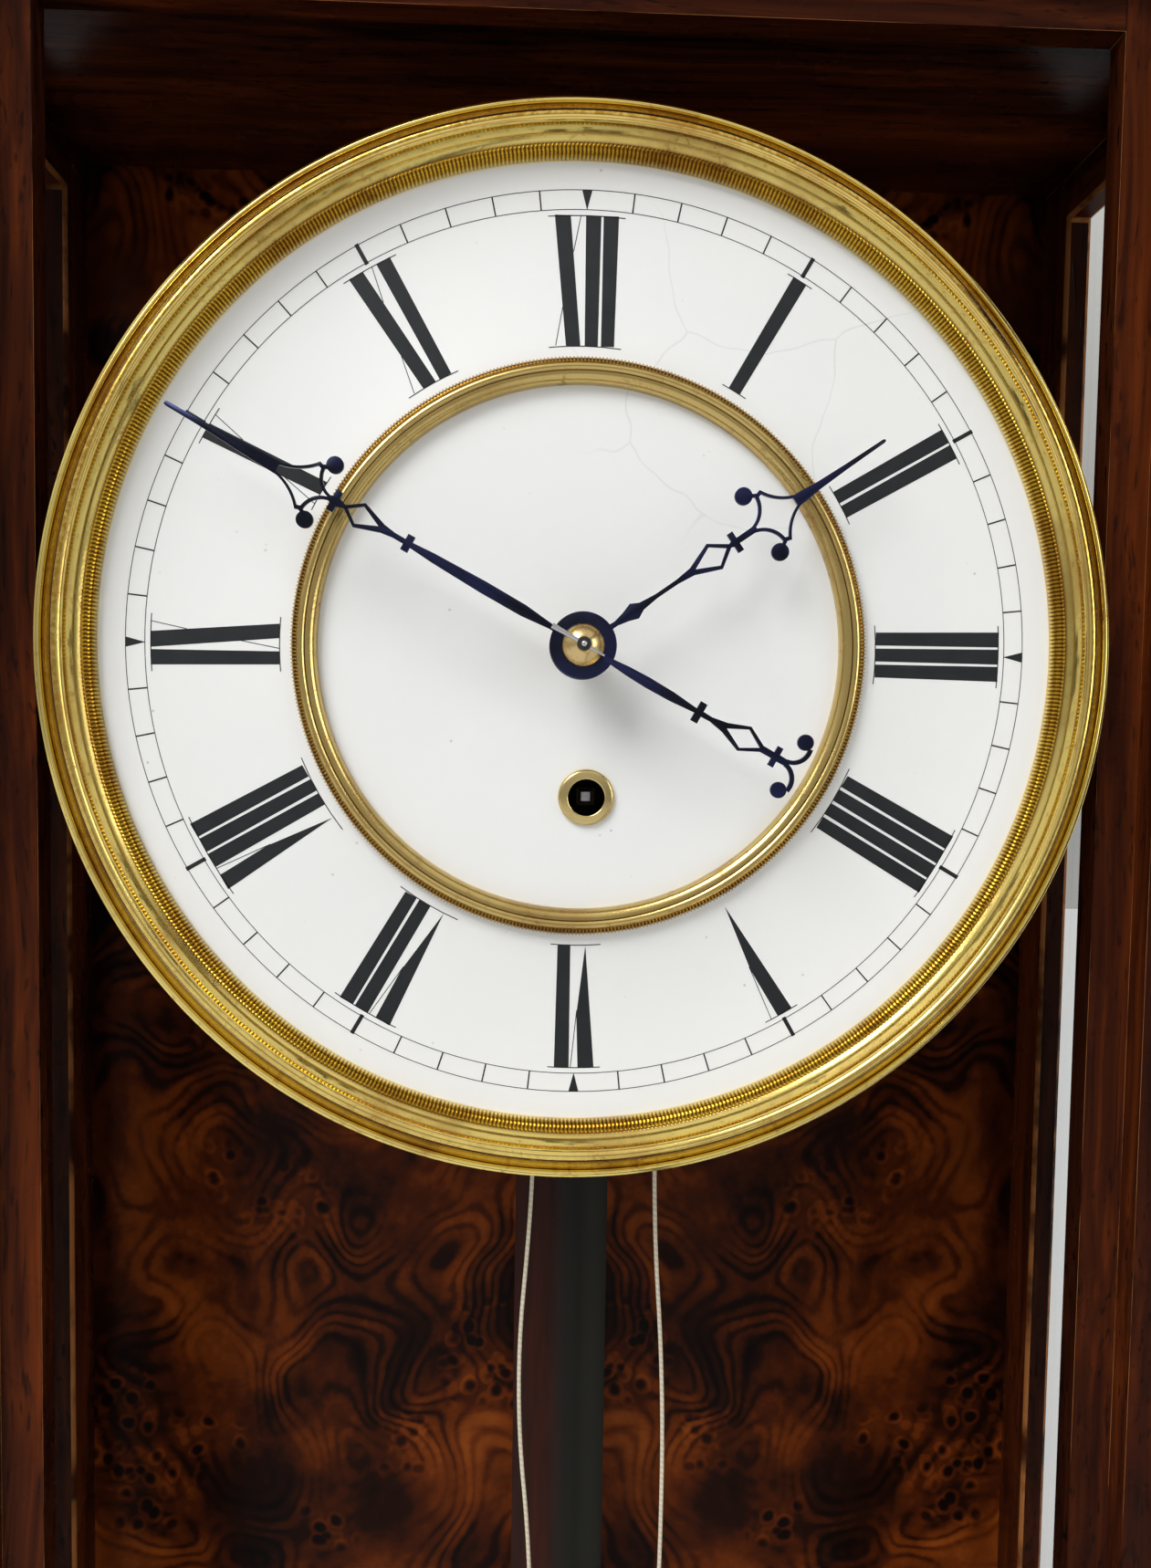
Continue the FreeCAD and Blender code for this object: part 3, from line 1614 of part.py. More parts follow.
def make_motion_work():
    """Cannon pinion, minute wheel and hour wheel between the front plate and the dial."""
    module = S.motion_module.value
    thick = S.motion_thick.value
    gap = S.gap.value
    minute_front, minute_back, pinion_front = motion_places()
    reach = module * (CANNON_TEETH + MINUTE_TEETH) / 2
    hour_module = 2 * reach / (MINUTE_PINION + HOUR_TEETH)
    wheel = thicken(wheel_face(MINUTE_TEETH, module), minute_front, minute_back)
    leaf = thicken(pinion_face(MINUTE_PINION, hour_module), pinion_front, minute_front)
    shape = bored(wheel.fuse(leaf), S.arbor_radius.value + S.fit.value, pinion_front, minute_back)
    keep(feature(at(upright(shape), *minute_wheel_place())), "minute_wheel")

    turn = mesh_turn(minute_wheel_place(), MINUTE_TEETH, centre_place(), CANNON_TEETH, 0)
    leaf = thicken(pinion_face(CANNON_TEETH, module, turn), minute_front - gap, minute_back + gap)
    pipe_front = (dial_face - S.minute_hand_stand).value
    pipe_back = minute_back + gap
    shape = leaf.fuse(drum(S.cannon_pipe.value, pipe_front, pipe_back))
    shape = bored(shape, S.centre_arbor_radius.value, pipe_front, pipe_back)
    keep(feature(at(upright(shape), *centre_place())), "cannon_pinion")

    turn = mesh_turn(minute_wheel_place(), MINUTE_PINION, centre_place(), HOUR_TEETH, 0)
    back = minute_front - 2 * gap
    wheel = thicken(wheel_face(HOUR_TEETH, hour_module, turn), back - thick, back)
    hand_back = (dial_face - S.hour_hand_stand).value
    hand_front = hand_back - S.hand_thick.value
    pipe = drum(S.hour_pipe.value, hand_back, back)
    neck = drum(S.hour_neck.value, hand_front, back)
    shape = wheel.fuse([pipe, neck])
    shape = bored(shape, S.cannon_pipe.value + S.fit.value, hand_front, back)
    keep(feature(at(upright(shape), *centre_place())), "hour_wheel")


# half the angle that the pallets span on the escape wheel, in degrees, and the arms' points as
# shares of the pallets' thickness
PALLET_ANGLE = 45
ELBOW_SHARES = (1.6, 2.6)


def make_pallets():
    """Dead-beat pallets on their arbor, which runs on through the bridge behind the plate."""
    thick = S.pallet_thick.value
    arbor = S.arbor_radius.value
    radius = S.escape_radius.value + S.pallet_clearance.value
    angle = math.radians(PALLET_ANGLE)
    nib_x = radius * math.sin(angle)
    nib_z = radius * math.cos(angle) - S.pallet_rise.value
    elbow_x = nib_x + ELBOW_SHARES[0] * thick
    elbow_z = nib_z + ELBOW_SHARES[1] * thick
    arm = polygon_face(
        [
            (0, S.hub_radius.value),
            (elbow_x + thick / 2, elbow_z + thick / 2),
            (elbow_x + thick / 3, elbow_z - thick),
            (nib_x + thick, nib_z),
            (nib_x, nib_z),
            (elbow_x - thick, elbow_z - thick / 2),
            (0, -arbor),
        ]
    )
    face = arm.fuse([arm.mirror(Vector(0, 0, 0), Vector(1, 0, 0)), disc_face(S.hub_radius.value)])
    front = behind_front(S.escape_wheel_back)
    solid = thicken(face.removeSplitter(), front, front + thick)
    solid = solid.fuse(drum(arbor, pivots()[0], (back_plate_back + S.cock_reach).value))
    keep(feature(at(upright(solid), *anchor_place())), "pallets")


# the crutch tapers to this share of its width
CRUTCH_TIP_SHARE = 0.7


def make_crutch():
    """The crutch hangs from the pallet arbor and its pin stands in the pendulum's slot."""
    front = (back_plate_back + S.gap * 2).value
    back = front + S.crutch_thick.value
    half = S.crutch_width.value / 2
    tip = half * CRUTCH_TIP_SHARE
    length = S.crutch_length.value
    strip = polygon_face([(-half, 0), (half, 0), (tip, -length), (-tip, -length)])
    pin_back = (pendulum_y + S.rod_thick / 2).value
    shape = thicken(strip, front, back).fuse(
        [
            drum(S.crutch_boss.value, front, back),
            at(drum(tip, front, back), 0, -length),
            at(drum(S.crutch_pin_radius.value, front, pin_back), 0, -length),
        ]
    )
    shape = bored(shape, S.arbor_radius.value, front, back)
    keep(feature(at(upright(shape), *anchor_place())), "crutch")


def make_cock():
    """A bridge on the back plate that carries the pallet arbor's rear pivot."""
    anchor_x, anchor_z = anchor_place()
    span = (back_plate_back, back_plate_back + S.cock_reach)
    deck = (span[1] - S.cock_thick, span[1])
    half = S.cock_half
    low, high = anchor_z - S.cock_height.value / 2, anchor_z + S.cock_height.value / 2
    pieces = [box((-half, half), deck, (low, high))]
    for side in (-1, 1):
        pieces.append(box(across(side, half - S.cock_thick, half), span, (low, high)))
    hole = bar(S.arbor_radius + S.fit, (deck[0] - S.overrun, deck[1] + S.overrun), anchor_x, anchor_z)
    keep(cut(fuse(*pieces), hole), "back_cock")


def make_seat():
    """The bracket on the backboard whose two arms carry the movement."""
    top = dial_z - S.plate_drop
    plate_x = S.plate_half
    back = (back_front - S.seat_plate_thick, back_front)
    pieces = [box((-plate_x, plate_x), back, (top - S.seat_plate_height, top))]
    for side in (-1, 1):
        centre = (S.plate_half - S.pillar_inset) * side
        arm_x = (centre - S.seat_width / 2, centre + S.seat_width / 2)
        pieces.append(box(arm_x, (front_plate_front, back[1]), (top - S.seat_height, top)))
    keep(fuse(*pieces), "movement_bracket")


# Pendulum


def suspension_z():
    return anchor_place()[1]


def make_suspension():
    """A brass bracket on the backboard with the slip of spring steel that the pendulum hangs on."""
    z = as_size(suspension_z())
    low = z + S.suspension_rise
    half = S.suspension_bracket_width / 2
    plate_y = (back_front - S.seat_plate_thick, back_front)
    base = box((-half, half), plate_y, (low - S.seat_plate_thick, low + S.suspension_bracket_height))
    arm_y = (pendulum_y - S.rod_thick / 2, plate_y[1])
    arm = box((-half / 2, half / 2), arm_y, (low, low + S.suspension_arm_height))
    keep(fuse(base, arm), "suspension_bracket")
    half = S.suspension_thick / 2
    strip = box(
        (-S.suspension_width / 2, S.suspension_width / 2),
        (pendulum_y - half, pendulum_y + half),
        (z, low),
    )
    keep(strip, "suspension_spring")


def make_pendulum_rod(top, low, slot_z):
    """A flat oval wooden rod with a slot for the crutch's pin."""
    half = S.rod_width / 2
    thick = S.rod_thick / 2
    edge = S.rod_edge / 2
    body = new_body(0, pendulum_y, low)
    sketch = new_sketch(body, "XY_Plane")
    front = [(-half, -edge), (0, -thick, "via")]
    back = [(half, edge), (0, thick, "via")]
    draw_loop(sketch, [(half, -edge), *back, (-half, edge), *front])
    pad = body.newObject("PartDesign::Pad", "pad")
    pad.Profile = sketch
    bind(pad, "Length", top - low)
    slot = box(
        (-S.rod_slot / 2, S.rod_slot / 2),
        (pendulum_y - S.rod_thick, pendulum_y + S.rod_thick),
        (slot_z - S.rod_slot_length / 2, slot_z + S.rod_slot_length / 2),
    )
    keep(cut(body, slot), "pendulum_rod")


# the hook's half width in widths of its spring, how far down the bob the rod reaches, the middle of
# the bob's curve out and forwards, the flat at its centre, and the nut's neck and shoulder
HOOK_BLOCK_SHARE = 0.9
ROD_SOCKET_SHARE = 0.8
LENS_SHARES = (0.6, 0.74)
LENS_FLAT_SHARE = 0.2
NUT_SHARES = {"neck": (0.55, 0), "shoulder": (0.6, 0.25), "rim": (1, 0.35)}


def make_pendulum():
    z = as_size(suspension_z())
    top = z - S.gap
    hook_low = top - S.hook_height
    half_thick = S.rod_thick / 2
    half_hook = S.suspension_width * HOOK_BLOCK_SHARE
    depth = (pendulum_y - half_thick, pendulum_y + half_thick)
    keep(box((-half_hook, half_hook), depth, (hook_low, top)), "pendulum_hook")
    bob_z = z - S.bob_drop
    radius = S.bob_radius
    rod_low = bob_z - radius * ROD_SOCKET_SHARE
    make_pendulum_rod(hook_low, rod_low, z - S.crutch_length)
    thick = S.bob_half_thick
    rim = S.bob_rim
    out, up = LENS_SHARES
    crown = radius * LENS_FLAT_SHARE
    lens = turned(
        [
            (0, -thick),
            (crown, -thick),
            (radius * out, -thick * up, "via"),
            (radius - rim, -rim),
            (radius, -rim),
            (radius, rim),
            (radius - rim, rim),
            (radius * out, thick * up, "via"),
            (crown, thick),
            (0, thick),
        ],
        y=pendulum_y,
        z=bob_z,
    )
    channel_half = S.rod_width / 2 + S.fit
    channel = box(
        (-channel_half, channel_half),
        (depth[0] - S.fit, depth[1] + S.fit),
        (rod_low, bob_z + radius + S.overrun),
    )
    stem_low = bob_z - radius - S.rod_end_length
    stem_hole = post(S.rod_end_radius, (bob_z - radius - S.overrun, rod_low), 0, pendulum_y)
    keep(cut(lens, channel, stem_hole), "pendulum_bob")
    keep(post(S.rod_end_radius, (stem_low, rod_low), 0, pendulum_y), "rod_end")
    nut = S.nut_height
    bore = S.rod_end_radius + S.fit
    steps = [(S.nut_radius * across, -nut * down) for across, down in NUT_SHARES.values()]
    keep(
        turned(
            [(bore, 0), *steps, (S.nut_radius, -nut), (bore, -nut)],
            along="Z",
            y=pendulum_y,
            z=bob_z - radius - S.gap,
        ),
        "rating_nut",
    )


# how deep the scale's curves are in its height
SCALE_CURVE_SHARE = 0.35


def make_scale():
    """A beat scale on the backboard below the bob."""
    half = S.scale_width / 2
    low = dial_z - S.scale_drop
    high = low + S.scale_height
    drop = S.scale_height * SCALE_CURVE_SHARE
    body = plate(
        [
            [
                (-half, high),
                (-half, low + drop),
                (0, low, "via"),
                (half, low + drop),
                (half, high),
                (0, high - drop, "via"),
            ]
        ],
        (back_front - S.scale_thick, back_front),
    )
    keep(body, "beat_scale")


# Weight and line


def pulley_z():
    return floor + S.gap + S.weight_height + S.stirrup_neck + S.pulley_rim


def make_weight():
    low = floor + S.gap
    high = low + S.weight_height
    radius = S.weight_radius
    edge = S.weight_round
    keep(
        turned(
            [
                (0, low),
                (radius - edge, low),
                (radius - edge * ROUND_SHARE, low + edge * ROUND_SHARE, "via"),
                (radius, low + edge),
                (radius, high - edge),
                (radius - edge * ROUND_SHARE, high - edge * ROUND_SHARE, "via"),
                (radius - edge, high),
                (0, high),
            ],
            along="Z",
            x=S.weight_offset,
            y=weight_y,
        ),
        "weight_shell",
    )
    axle = pulley_z()
    half = S.pulley_half + S.gap
    wide = S.stirrup_width / 2
    x = S.weight_offset
    cheeks = []
    cheek_low = high + S.stirrup_neck - S.stirrup_thick * 2
    for side in (-1, 1):
        inner = weight_y + half * side
        outer = inner + S.stirrup_thick * side
        span = (inner, outer) if side > 0 else (outer, inner)
        cheeks.append(box((x - wide, x + wide), span, (cheek_low, axle + wide)))
    bridge_top = high + S.stirrup_neck - S.gap * 2
    bridge = box(
        (x - wide, x + wide),
        (weight_y - half - S.stirrup_thick, weight_y + half + S.stirrup_thick),
        (bridge_top - S.stirrup_thick * 2, bridge_top),
    )
    stem = post(S.stirrup_post, (high, bridge_top - S.stirrup_thick), x, weight_y)
    pin = bar(
        S.pulley_pin_radius,
        (weight_y - half - S.stirrup_pin, weight_y + half + S.stirrup_pin),
        x,
        axle,
    )
    keep(fuse(*cheeks, bridge, stem, pin), "pulley_stirrup")
    groove = S.pulley_radius - S.line_diameter / 2 - S.gap
    flank = S.line_diameter / 2 + S.gap
    mouth = flank + S.groove_flare
    keep(
        turned(
            [
                (S.pulley_pin_radius + S.fit, -S.pulley_half),
                (S.pulley_rim, -S.pulley_half),
                (S.pulley_rim, -mouth),
                (groove, -flank),
                (groove, flank),
                (S.pulley_rim, mouth),
                (S.pulley_rim, S.pulley_half),
                (S.pulley_pin_radius + S.fit, S.pulley_half),
            ],
            x=x,
            y=weight_y,
            z=axle,
        ),
        "pulley",
    )


# the line's run from the movement down to its pulley: how far out of straight each point lies,
# as shares of the bow, and how far down it lies, as shares of the run
RIGHT_SHARES = [
    (0, 0), (-0.1, 0.07), (-0.45, 0.145), (0.85, 0.215), (0.8, 0.285), (0.3, 0.36), (0.05, 0.44),
    (0, 0.53), (0.2, 0.62), (0.3, 0.71), (0.35, 0.8), (0.2, 0.88), (0.02, 0.95), (0, 1),
]
LEFT_SHARES = [
    (0, 0), (0.1, 0.05), (0, 0.1), (1.35, 0.175), (-0.4, 0.25), (0, 0.33), (0.25, 0.42),
    (0.35, 0.51), (0.15, 0.6), (0, 0.69), (0.1, 0.78), (0.2, 0.86), (0.05, 0.93), (0, 1),
]


# how much of its shorter run each arc takes
ARC_SHARE = 0.45


def rounded_path(points):
    """Straight runs joined by tangent arcs, each as large as its two runs allow."""
    edges = []
    radii = []
    start = points[0]
    for before, corner, after in zip(points, points[1:], points[2:]):
        back = (before - corner).normalize()
        ahead = (after - corner).normalize()
        half_turn = (math.pi - back.getAngle(ahead)) / 2
        shorter = min(before.distanceToPoint(corner), after.distanceToPoint(corner))
        setback = ARC_SHARE * shorter
        radius = setback / math.tan(half_turn)
        enter = corner + back * setback
        leave = corner + ahead * setback
        middle_reach = radius / math.cos(half_turn) - radius
        inward = (back + ahead).normalize()
        edges.append(Part.LineSegment(start, enter).toShape())
        edges.append(Part.Arc(enter, corner + inward * middle_reach, leave).toShape())
        radii.append(radius)
        start = leave
    edges.append(Part.LineSegment(start, points[-1]).toShape())
    return Part.Wire(edges), radii


def line_tube(points, label):
    path, radii = rounded_path(points)
    first = (points[1] - points[0]).normalize()
    circle = Part.Wire(Part.makeCircle(S.line_diameter.value / 2, points[0], first))
    tube = path.makePipeShell([circle], True, False)
    solid = tube.Solids[0] if tube.Solids else Part.Solid(tube)
    expected = math.pi * (S.line_diameter.value / 2) ** 2 * path.Length
    volume_ratio = round(solid.Volume / expected, 4)
    least = round(min(radii), 1)
    print(label, "length", round(path.Length, 1), "least radius", least, "volume", volume_ratio)
    keep(feature(solid), label)


def make_line():
    """The gut line: down from the barrel, round the pulley and up to its post."""
    y = weight_y.value
    axle = pulley_z().value
    right_x = (S.weight_offset + S.pulley_radius).value
    left_x = (S.weight_offset - S.pulley_radius).value
    bow = S.line_bow.value
    top_x = S.winding_offset.value + S.barrel_radius.value + S.gap.value + S.line_diameter.value / 2
    top_z = winding_z.value
    run = top_z - axle
    lean = right_x - top_x
    points = [Vector(top_x + lean * down + bow * out, y, top_z - run * down) for out, down in RIGHT_SHARES]
    line_tube(points, "gut_line_right")
    top_z = line_post_z().value - S.line_post_radius.value
    run = top_z - axle
    points = [Vector(left_x - bow * out, y, top_z - run * down) for out, down in LEFT_SHARES]
    line_tube(points, "gut_line_left")
    circle = Part.Wire(Part.makeCircle(S.line_diameter.value / 2, Vector(right_x, y, axle), Vector(0, 0, 1)))
    centre = Vector(S.weight_offset.value, y, axle)
    radius = S.pulley_radius.value
    arc = Part.Arc(
        centre + Vector(radius, 0, 0), centre + Vector(0, 0, -radius), centre + Vector(-radius, 0, 0)
    ).toShape()
    turn = Part.Wire(arc).makePipeShell([circle], True, False)
    keep(feature(turn.Solids[0] if turn.Solids else Part.Solid(turn)), "gut_line_turn")


def check_and_export():
    doc.recompute()
    for thing in doc.Objects:
        if "Invalid" in thing.State or "Error" in thing.State:
            raise RuntimeError(f"{thing.Name} {thing.Label} failed: {thing.State}")
    names = [piece.Label for piece in parts]
    if len(set(names)) != len(names) or len(names) > 60:
        raise RuntimeError("piece names repeat or are too many")
    os.makedirs("parts", exist_ok=True)
    for piece in parts:
        shape = piece.Shape
        if shape.isNull() or not shape.isValid() or not shape.Solids:
            raise RuntimeError(f"{piece.Label} has no valid shape")
    for piece in parts:
        piece.Shape.exportStep(f"parts/{piece.Label}.step")
    print(len(parts), "pieces")


make_case()
make_door()
make_hinges()
keep(make_hook(), "door_hook")
make_dial()
make_train(make_hands())
make_motion_work()
make_plates()
make_pallets()
make_crutch()
make_cock()
make_seat()
make_suspension()
make_pendulum()
make_scale()
make_weight()
make_line()
check_and_export()
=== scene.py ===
import json
import math

import bmesh
import bpy
from mathutils import Matrix, Vector

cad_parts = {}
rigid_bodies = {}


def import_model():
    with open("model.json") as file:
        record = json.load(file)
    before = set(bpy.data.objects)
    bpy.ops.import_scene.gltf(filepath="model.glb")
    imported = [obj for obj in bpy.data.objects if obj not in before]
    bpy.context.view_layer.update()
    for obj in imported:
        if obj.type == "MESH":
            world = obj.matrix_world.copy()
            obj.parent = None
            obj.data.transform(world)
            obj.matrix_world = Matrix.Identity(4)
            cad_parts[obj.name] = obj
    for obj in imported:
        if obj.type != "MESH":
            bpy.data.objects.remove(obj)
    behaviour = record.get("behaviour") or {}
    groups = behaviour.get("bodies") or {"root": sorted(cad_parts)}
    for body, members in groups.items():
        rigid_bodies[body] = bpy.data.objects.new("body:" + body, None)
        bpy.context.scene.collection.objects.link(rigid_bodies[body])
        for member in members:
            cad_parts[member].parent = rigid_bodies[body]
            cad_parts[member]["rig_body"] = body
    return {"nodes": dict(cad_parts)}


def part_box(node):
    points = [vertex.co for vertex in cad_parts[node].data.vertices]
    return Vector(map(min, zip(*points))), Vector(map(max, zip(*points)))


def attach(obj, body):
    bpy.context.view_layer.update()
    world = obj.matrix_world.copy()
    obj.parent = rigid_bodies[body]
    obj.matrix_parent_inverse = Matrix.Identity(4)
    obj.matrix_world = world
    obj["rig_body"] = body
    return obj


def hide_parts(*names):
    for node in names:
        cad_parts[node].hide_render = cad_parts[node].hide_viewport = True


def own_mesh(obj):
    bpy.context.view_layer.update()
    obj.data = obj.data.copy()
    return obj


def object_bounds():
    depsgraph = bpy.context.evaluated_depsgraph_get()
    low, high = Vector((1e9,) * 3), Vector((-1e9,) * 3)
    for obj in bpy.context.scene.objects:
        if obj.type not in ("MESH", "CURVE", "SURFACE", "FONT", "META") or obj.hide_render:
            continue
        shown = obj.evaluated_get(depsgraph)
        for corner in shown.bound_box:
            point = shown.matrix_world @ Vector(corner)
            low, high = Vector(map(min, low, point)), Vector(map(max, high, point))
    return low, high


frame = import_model()
cad_low, cad_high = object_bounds()

# Wall regulator seen from the front, about 0.2 m from its dial. Lengths are metres; MM turns the
# clockmaker's millimetres into them. The dial faces -Y.

MM = 0.001
face_low, face_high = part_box("chapter_ring")
DIAL_FACE = face_low.y
DIAL_Z = (face_low.z + face_high.z) / 2
DIAL = Vector((0, DIAL_FACE, DIAL_Z))
ROOT = "root"


# Shader maths


class Socket:
    """One value of a finish. Arithmetic on it adds Math nodes."""

    def __init__(self, finish, link):
        self.finish = finish
        self.link = link

    def join(self, operation, *values):
        return self.finish.add("ShaderNodeMath", {"operation": operation}, dict(enumerate(values)))

    def __add__(self, other):
        return self.join("ADD", self, other)

    def __sub__(self, other):
        return self.join("SUBTRACT", self, other)

    def __mul__(self, other):
        return self.join("MULTIPLY", self, other)

    def __pow__(self, other):
        return self.join("POWER", self, other)

    def __rsub__(self, other):
        return self.join("SUBTRACT", other, self)

    __radd__ = __add__
    __rmul__ = __mul__

    def __abs__(self):
        return self.join("ABSOLUTE", self)

    def above(self, level):
        return self.join("GREATER_THAN", self, level)

    def below(self, level):
        return self.join("LESS_THAN", self, level)

    def sine(self):
        """Waves between -1 and 1. The marks and twists of the finishes are in radians a metre."""
        return self.join("SINE", self)

    def fade(self, start, end):
        """From 0 at start to 1 at end, smoothly; start may be the larger."""
        return self.finish.add(
            "ShaderNodeMapRange",
            {"interpolation_type": "SMOOTHSTEP"},
            {"Value": self, "From Min": start, "From Max": end},
        )


class Finish:
    """A procedural material, or the nodes of the room around the clock."""

    def __init__(self, name, holder=None):
        self.material = holder or bpy.data.materials.new(name)
        self.material.use_nodes = True
        self.tree = self.material.node_tree
        self.tree.nodes.clear()

    def add(self, kind, settings=None, inputs=None, output=0):
        """One node: its settings, then the values or links of its sockets."""
        node = self.tree.nodes.new(kind)
        for name, value in (settings or {}).items():
            if name == "stops":
                ramp = node.color_ramp.elements
                while len(ramp) < len(value):
                    ramp.new(0.5)
                for stop, (position, colour) in zip(ramp, value):
                    stop.position = position
                    stop.color = (*colour, 1)
            else:
                setattr(node, name, value)
        for name, value in (inputs or {}).items():
            socket = node.inputs[name]
            if isinstance(value, Socket):
                self.tree.links.new(value.link, socket)
            elif isinstance(value, tuple) and len(value) < len(socket.default_value):
                socket.default_value = (*value, 1)
            else:
                socket.default_value = value
        return Socket(self, node.outputs[output])

    def place(self):
        return self.add("ShaderNodeTexCoord", output="Object")

    def split(self, vector):
        return [self.add("ShaderNodeSeparateXYZ", None, {0: vector}, axis) for axis in range(3)]

    def combine(self, x, y, z):
        return self.add("ShaderNodeCombineXYZ", None, {0: x, 1: y, 2: z})

    def attribute(self, name):
        """The number that a mesh carries under this name."""
        return self.add("ShaderNodeAttribute", {"attribute_name": name}, output="Fac")

    def stretched(self, vector, scale):
        return self.add("ShaderNodeMapping", None, {"Vector": vector, "Scale": scale})

    def noise(self, vector, scale, detail=2.0, roughness=0.5, output="Fac"):
        sockets = {"Vector": vector, "Scale": scale, "Detail": detail, "Roughness": roughness}
        return self.add("ShaderNodeTexNoise", None, sockets, output)

    def drift(self, vector, scale, detail=2.0):
        """Three noises at once, as a colour that push takes."""
        return self.noise(vector, scale, detail, output="Color")

    def cells(self, vector, scale, feature="F1"):
        return self.add("ShaderNodeTexVoronoi", {"feature": feature}, {"Vector": vector, "Scale": scale})

    def ramp(self, value, *stops):
        return self.add("ShaderNodeValToRGB", {"stops": stops}, {"Fac": value})

    def blend(self, share, first, second):
        return self.add("ShaderNodeMix", {"data_type": "RGBA"}, {0: share, 6: first, 7: second}, 2)

    def vector(self, operation, inputs, output=0):
        return self.add("ShaderNodeVectorMath", {"operation": operation}, inputs, output)

    def push(self, vector, offset, amount):
        """Shift a place by a noise colour, by up to about half of amount."""
        centred = self.vector("SUBTRACT", {0: offset, 1: (0.5, 0.5, 0.5)})
        scaled = self.vector("SCALE", {0: centred, "Scale": amount})
        return self.vector("ADD", {0: vector, 1: scaled})

    def bump(self, height, depth, strength):
        """A relief whose depth is given in millimetres."""
        sockets = {"Height": height, "Distance": depth * MM, "Strength": strength}
        return self.add("ShaderNodeBump", None, sockets)

    def light_path(self, kind):
        return self.add("ShaderNodeLightPath", output=f"Is {kind} Ray")

    def surface(self, **sockets):
        """A Principled surface; an underscore in a name stands for a space."""
        inputs = {name.replace("_", " "): value for name, value in sockets.items()}
        return self.close(self.add("ShaderNodeBsdfPrincipled", None, inputs))

    def close(self, shader, kind="ShaderNodeOutputMaterial"):
        output = self.tree.nodes.new(kind)
        self.tree.links.new(shader.link, output.inputs["Surface"])
        return self.material


# Finishes

eyelet_low, eyelet_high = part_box("winding_eyelet")
WINDING = (eyelet_low + eyelet_high) / 2
GROOVE_DARK = (0.17, 0.075, 0.022)
# painted shade, black, inside the eyelet's bore and round the winding arbor
PAINTED_SHADE_BLACK = (0.006, 0.005, 0.004)
WALNUT_DARK = (0.006, 0.0024, 0.0016)
WALNUT_BROWN = (0.045, 0.0095, 0.003)
WALNUT_RED = (0.14, 0.028, 0.005)
WALNUT_STOPS = ((0.36, WALNUT_DARK), (0.5, WALNUT_BROWN), (0.66, WALNUT_RED))
WORN_EDGE = (0.42, 0.16, 0.045)
GRAIN_SCALES = {"X": (0.06, 1, 1), "Y": (1, 0.06, 1), "Z": (1, 1, 0.06)}
PORE_SCALES = {"X": (3, 1, 1), "Y": (1, 3, 1), "Z": (1, 1, 3)}
JOINT_HALF = 0.22 * MM


def grain(f, place, along):
    """Colour share and pore share of straight-grained walnut whose grain runs along an axis."""
    fibres = f.push(f.stretched(place, GRAIN_SCALES[along]), f.drift(place, 9), 0.012)
    broad = f.noise(fibres, 55, 3, 0.6)
    fine = f.noise(fibres, 420, 2, 0.7)
    pores = f.noise(f.stretched(fibres, PORE_SCALES[along]), 900, 1)
    return broad * 0.65 + fine * 0.35, pores.fade(0.6, 0.72)


def walnut(name, along, inside=None, band=None):
    """French-polished walnut. Inside the band (an axis and two places) the grain runs along inside."""
    f = Finish(name)
    place = f.place()
    tone, pores = grain(f, place, along)
    if band:
        axis, low, high = band
        where = f.split(place)[axis]
        within = where.above(low) * where.below(high)
        rail_tone, rail_pores = grain(f, place, inside)
        tone = tone + (rail_tone - tone) * within
        pores = pores + (rail_pores - pores) * within
        joint = abs(where - low).below(JOINT_HALF) + abs(where - high).below(JOINT_HALF)
        pores = pores + joint * 0.9
    colour = f.blend(pores * 0.6, f.ramp(tone, *WALNUT_STOPS), WALNUT_DARK)
    # the eased edges, rubbed through to paler wood in patches
    wear_and_painted_reflection = f.attribute("wear") * f.noise(place, 35, 4, 0.65).fade(0.38, 0.56)
    colour = f.blend(wear_and_painted_reflection * 0.85, colour, WORN_EDGE)
    height = tone * 0.25 - pores * 0.5
    return f.surface(
        Base_Color=colour,
        Roughness=f.noise(place, 60, 3).fade(0.1, 0.9) * 0.14 + 0.2,
        Specular_IOR_Level=0.06,
        Normal=f.bump(height, 0.1, 0.4),
    )


BURR_STOPS = (
    (0.0, (0.005, 0.002, 0.0012)),
    (0.2, (0.018, 0.0045, 0.002)),
    (0.4, (0.066, 0.0125, 0.0026)),
    (0.62, (0.16, 0.032, 0.0045)),
    (0.85, (0.28, 0.066, 0.009)),
)
BOARD_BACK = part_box("backboard")[1].y - 0.5 * MM
PINE_STOPS = ((0.36, (0.075, 0.038, 0.017)), (0.62, (0.25, 0.145, 0.07)))
SAW_MARKS = 2600
SAW_SLANT = 500


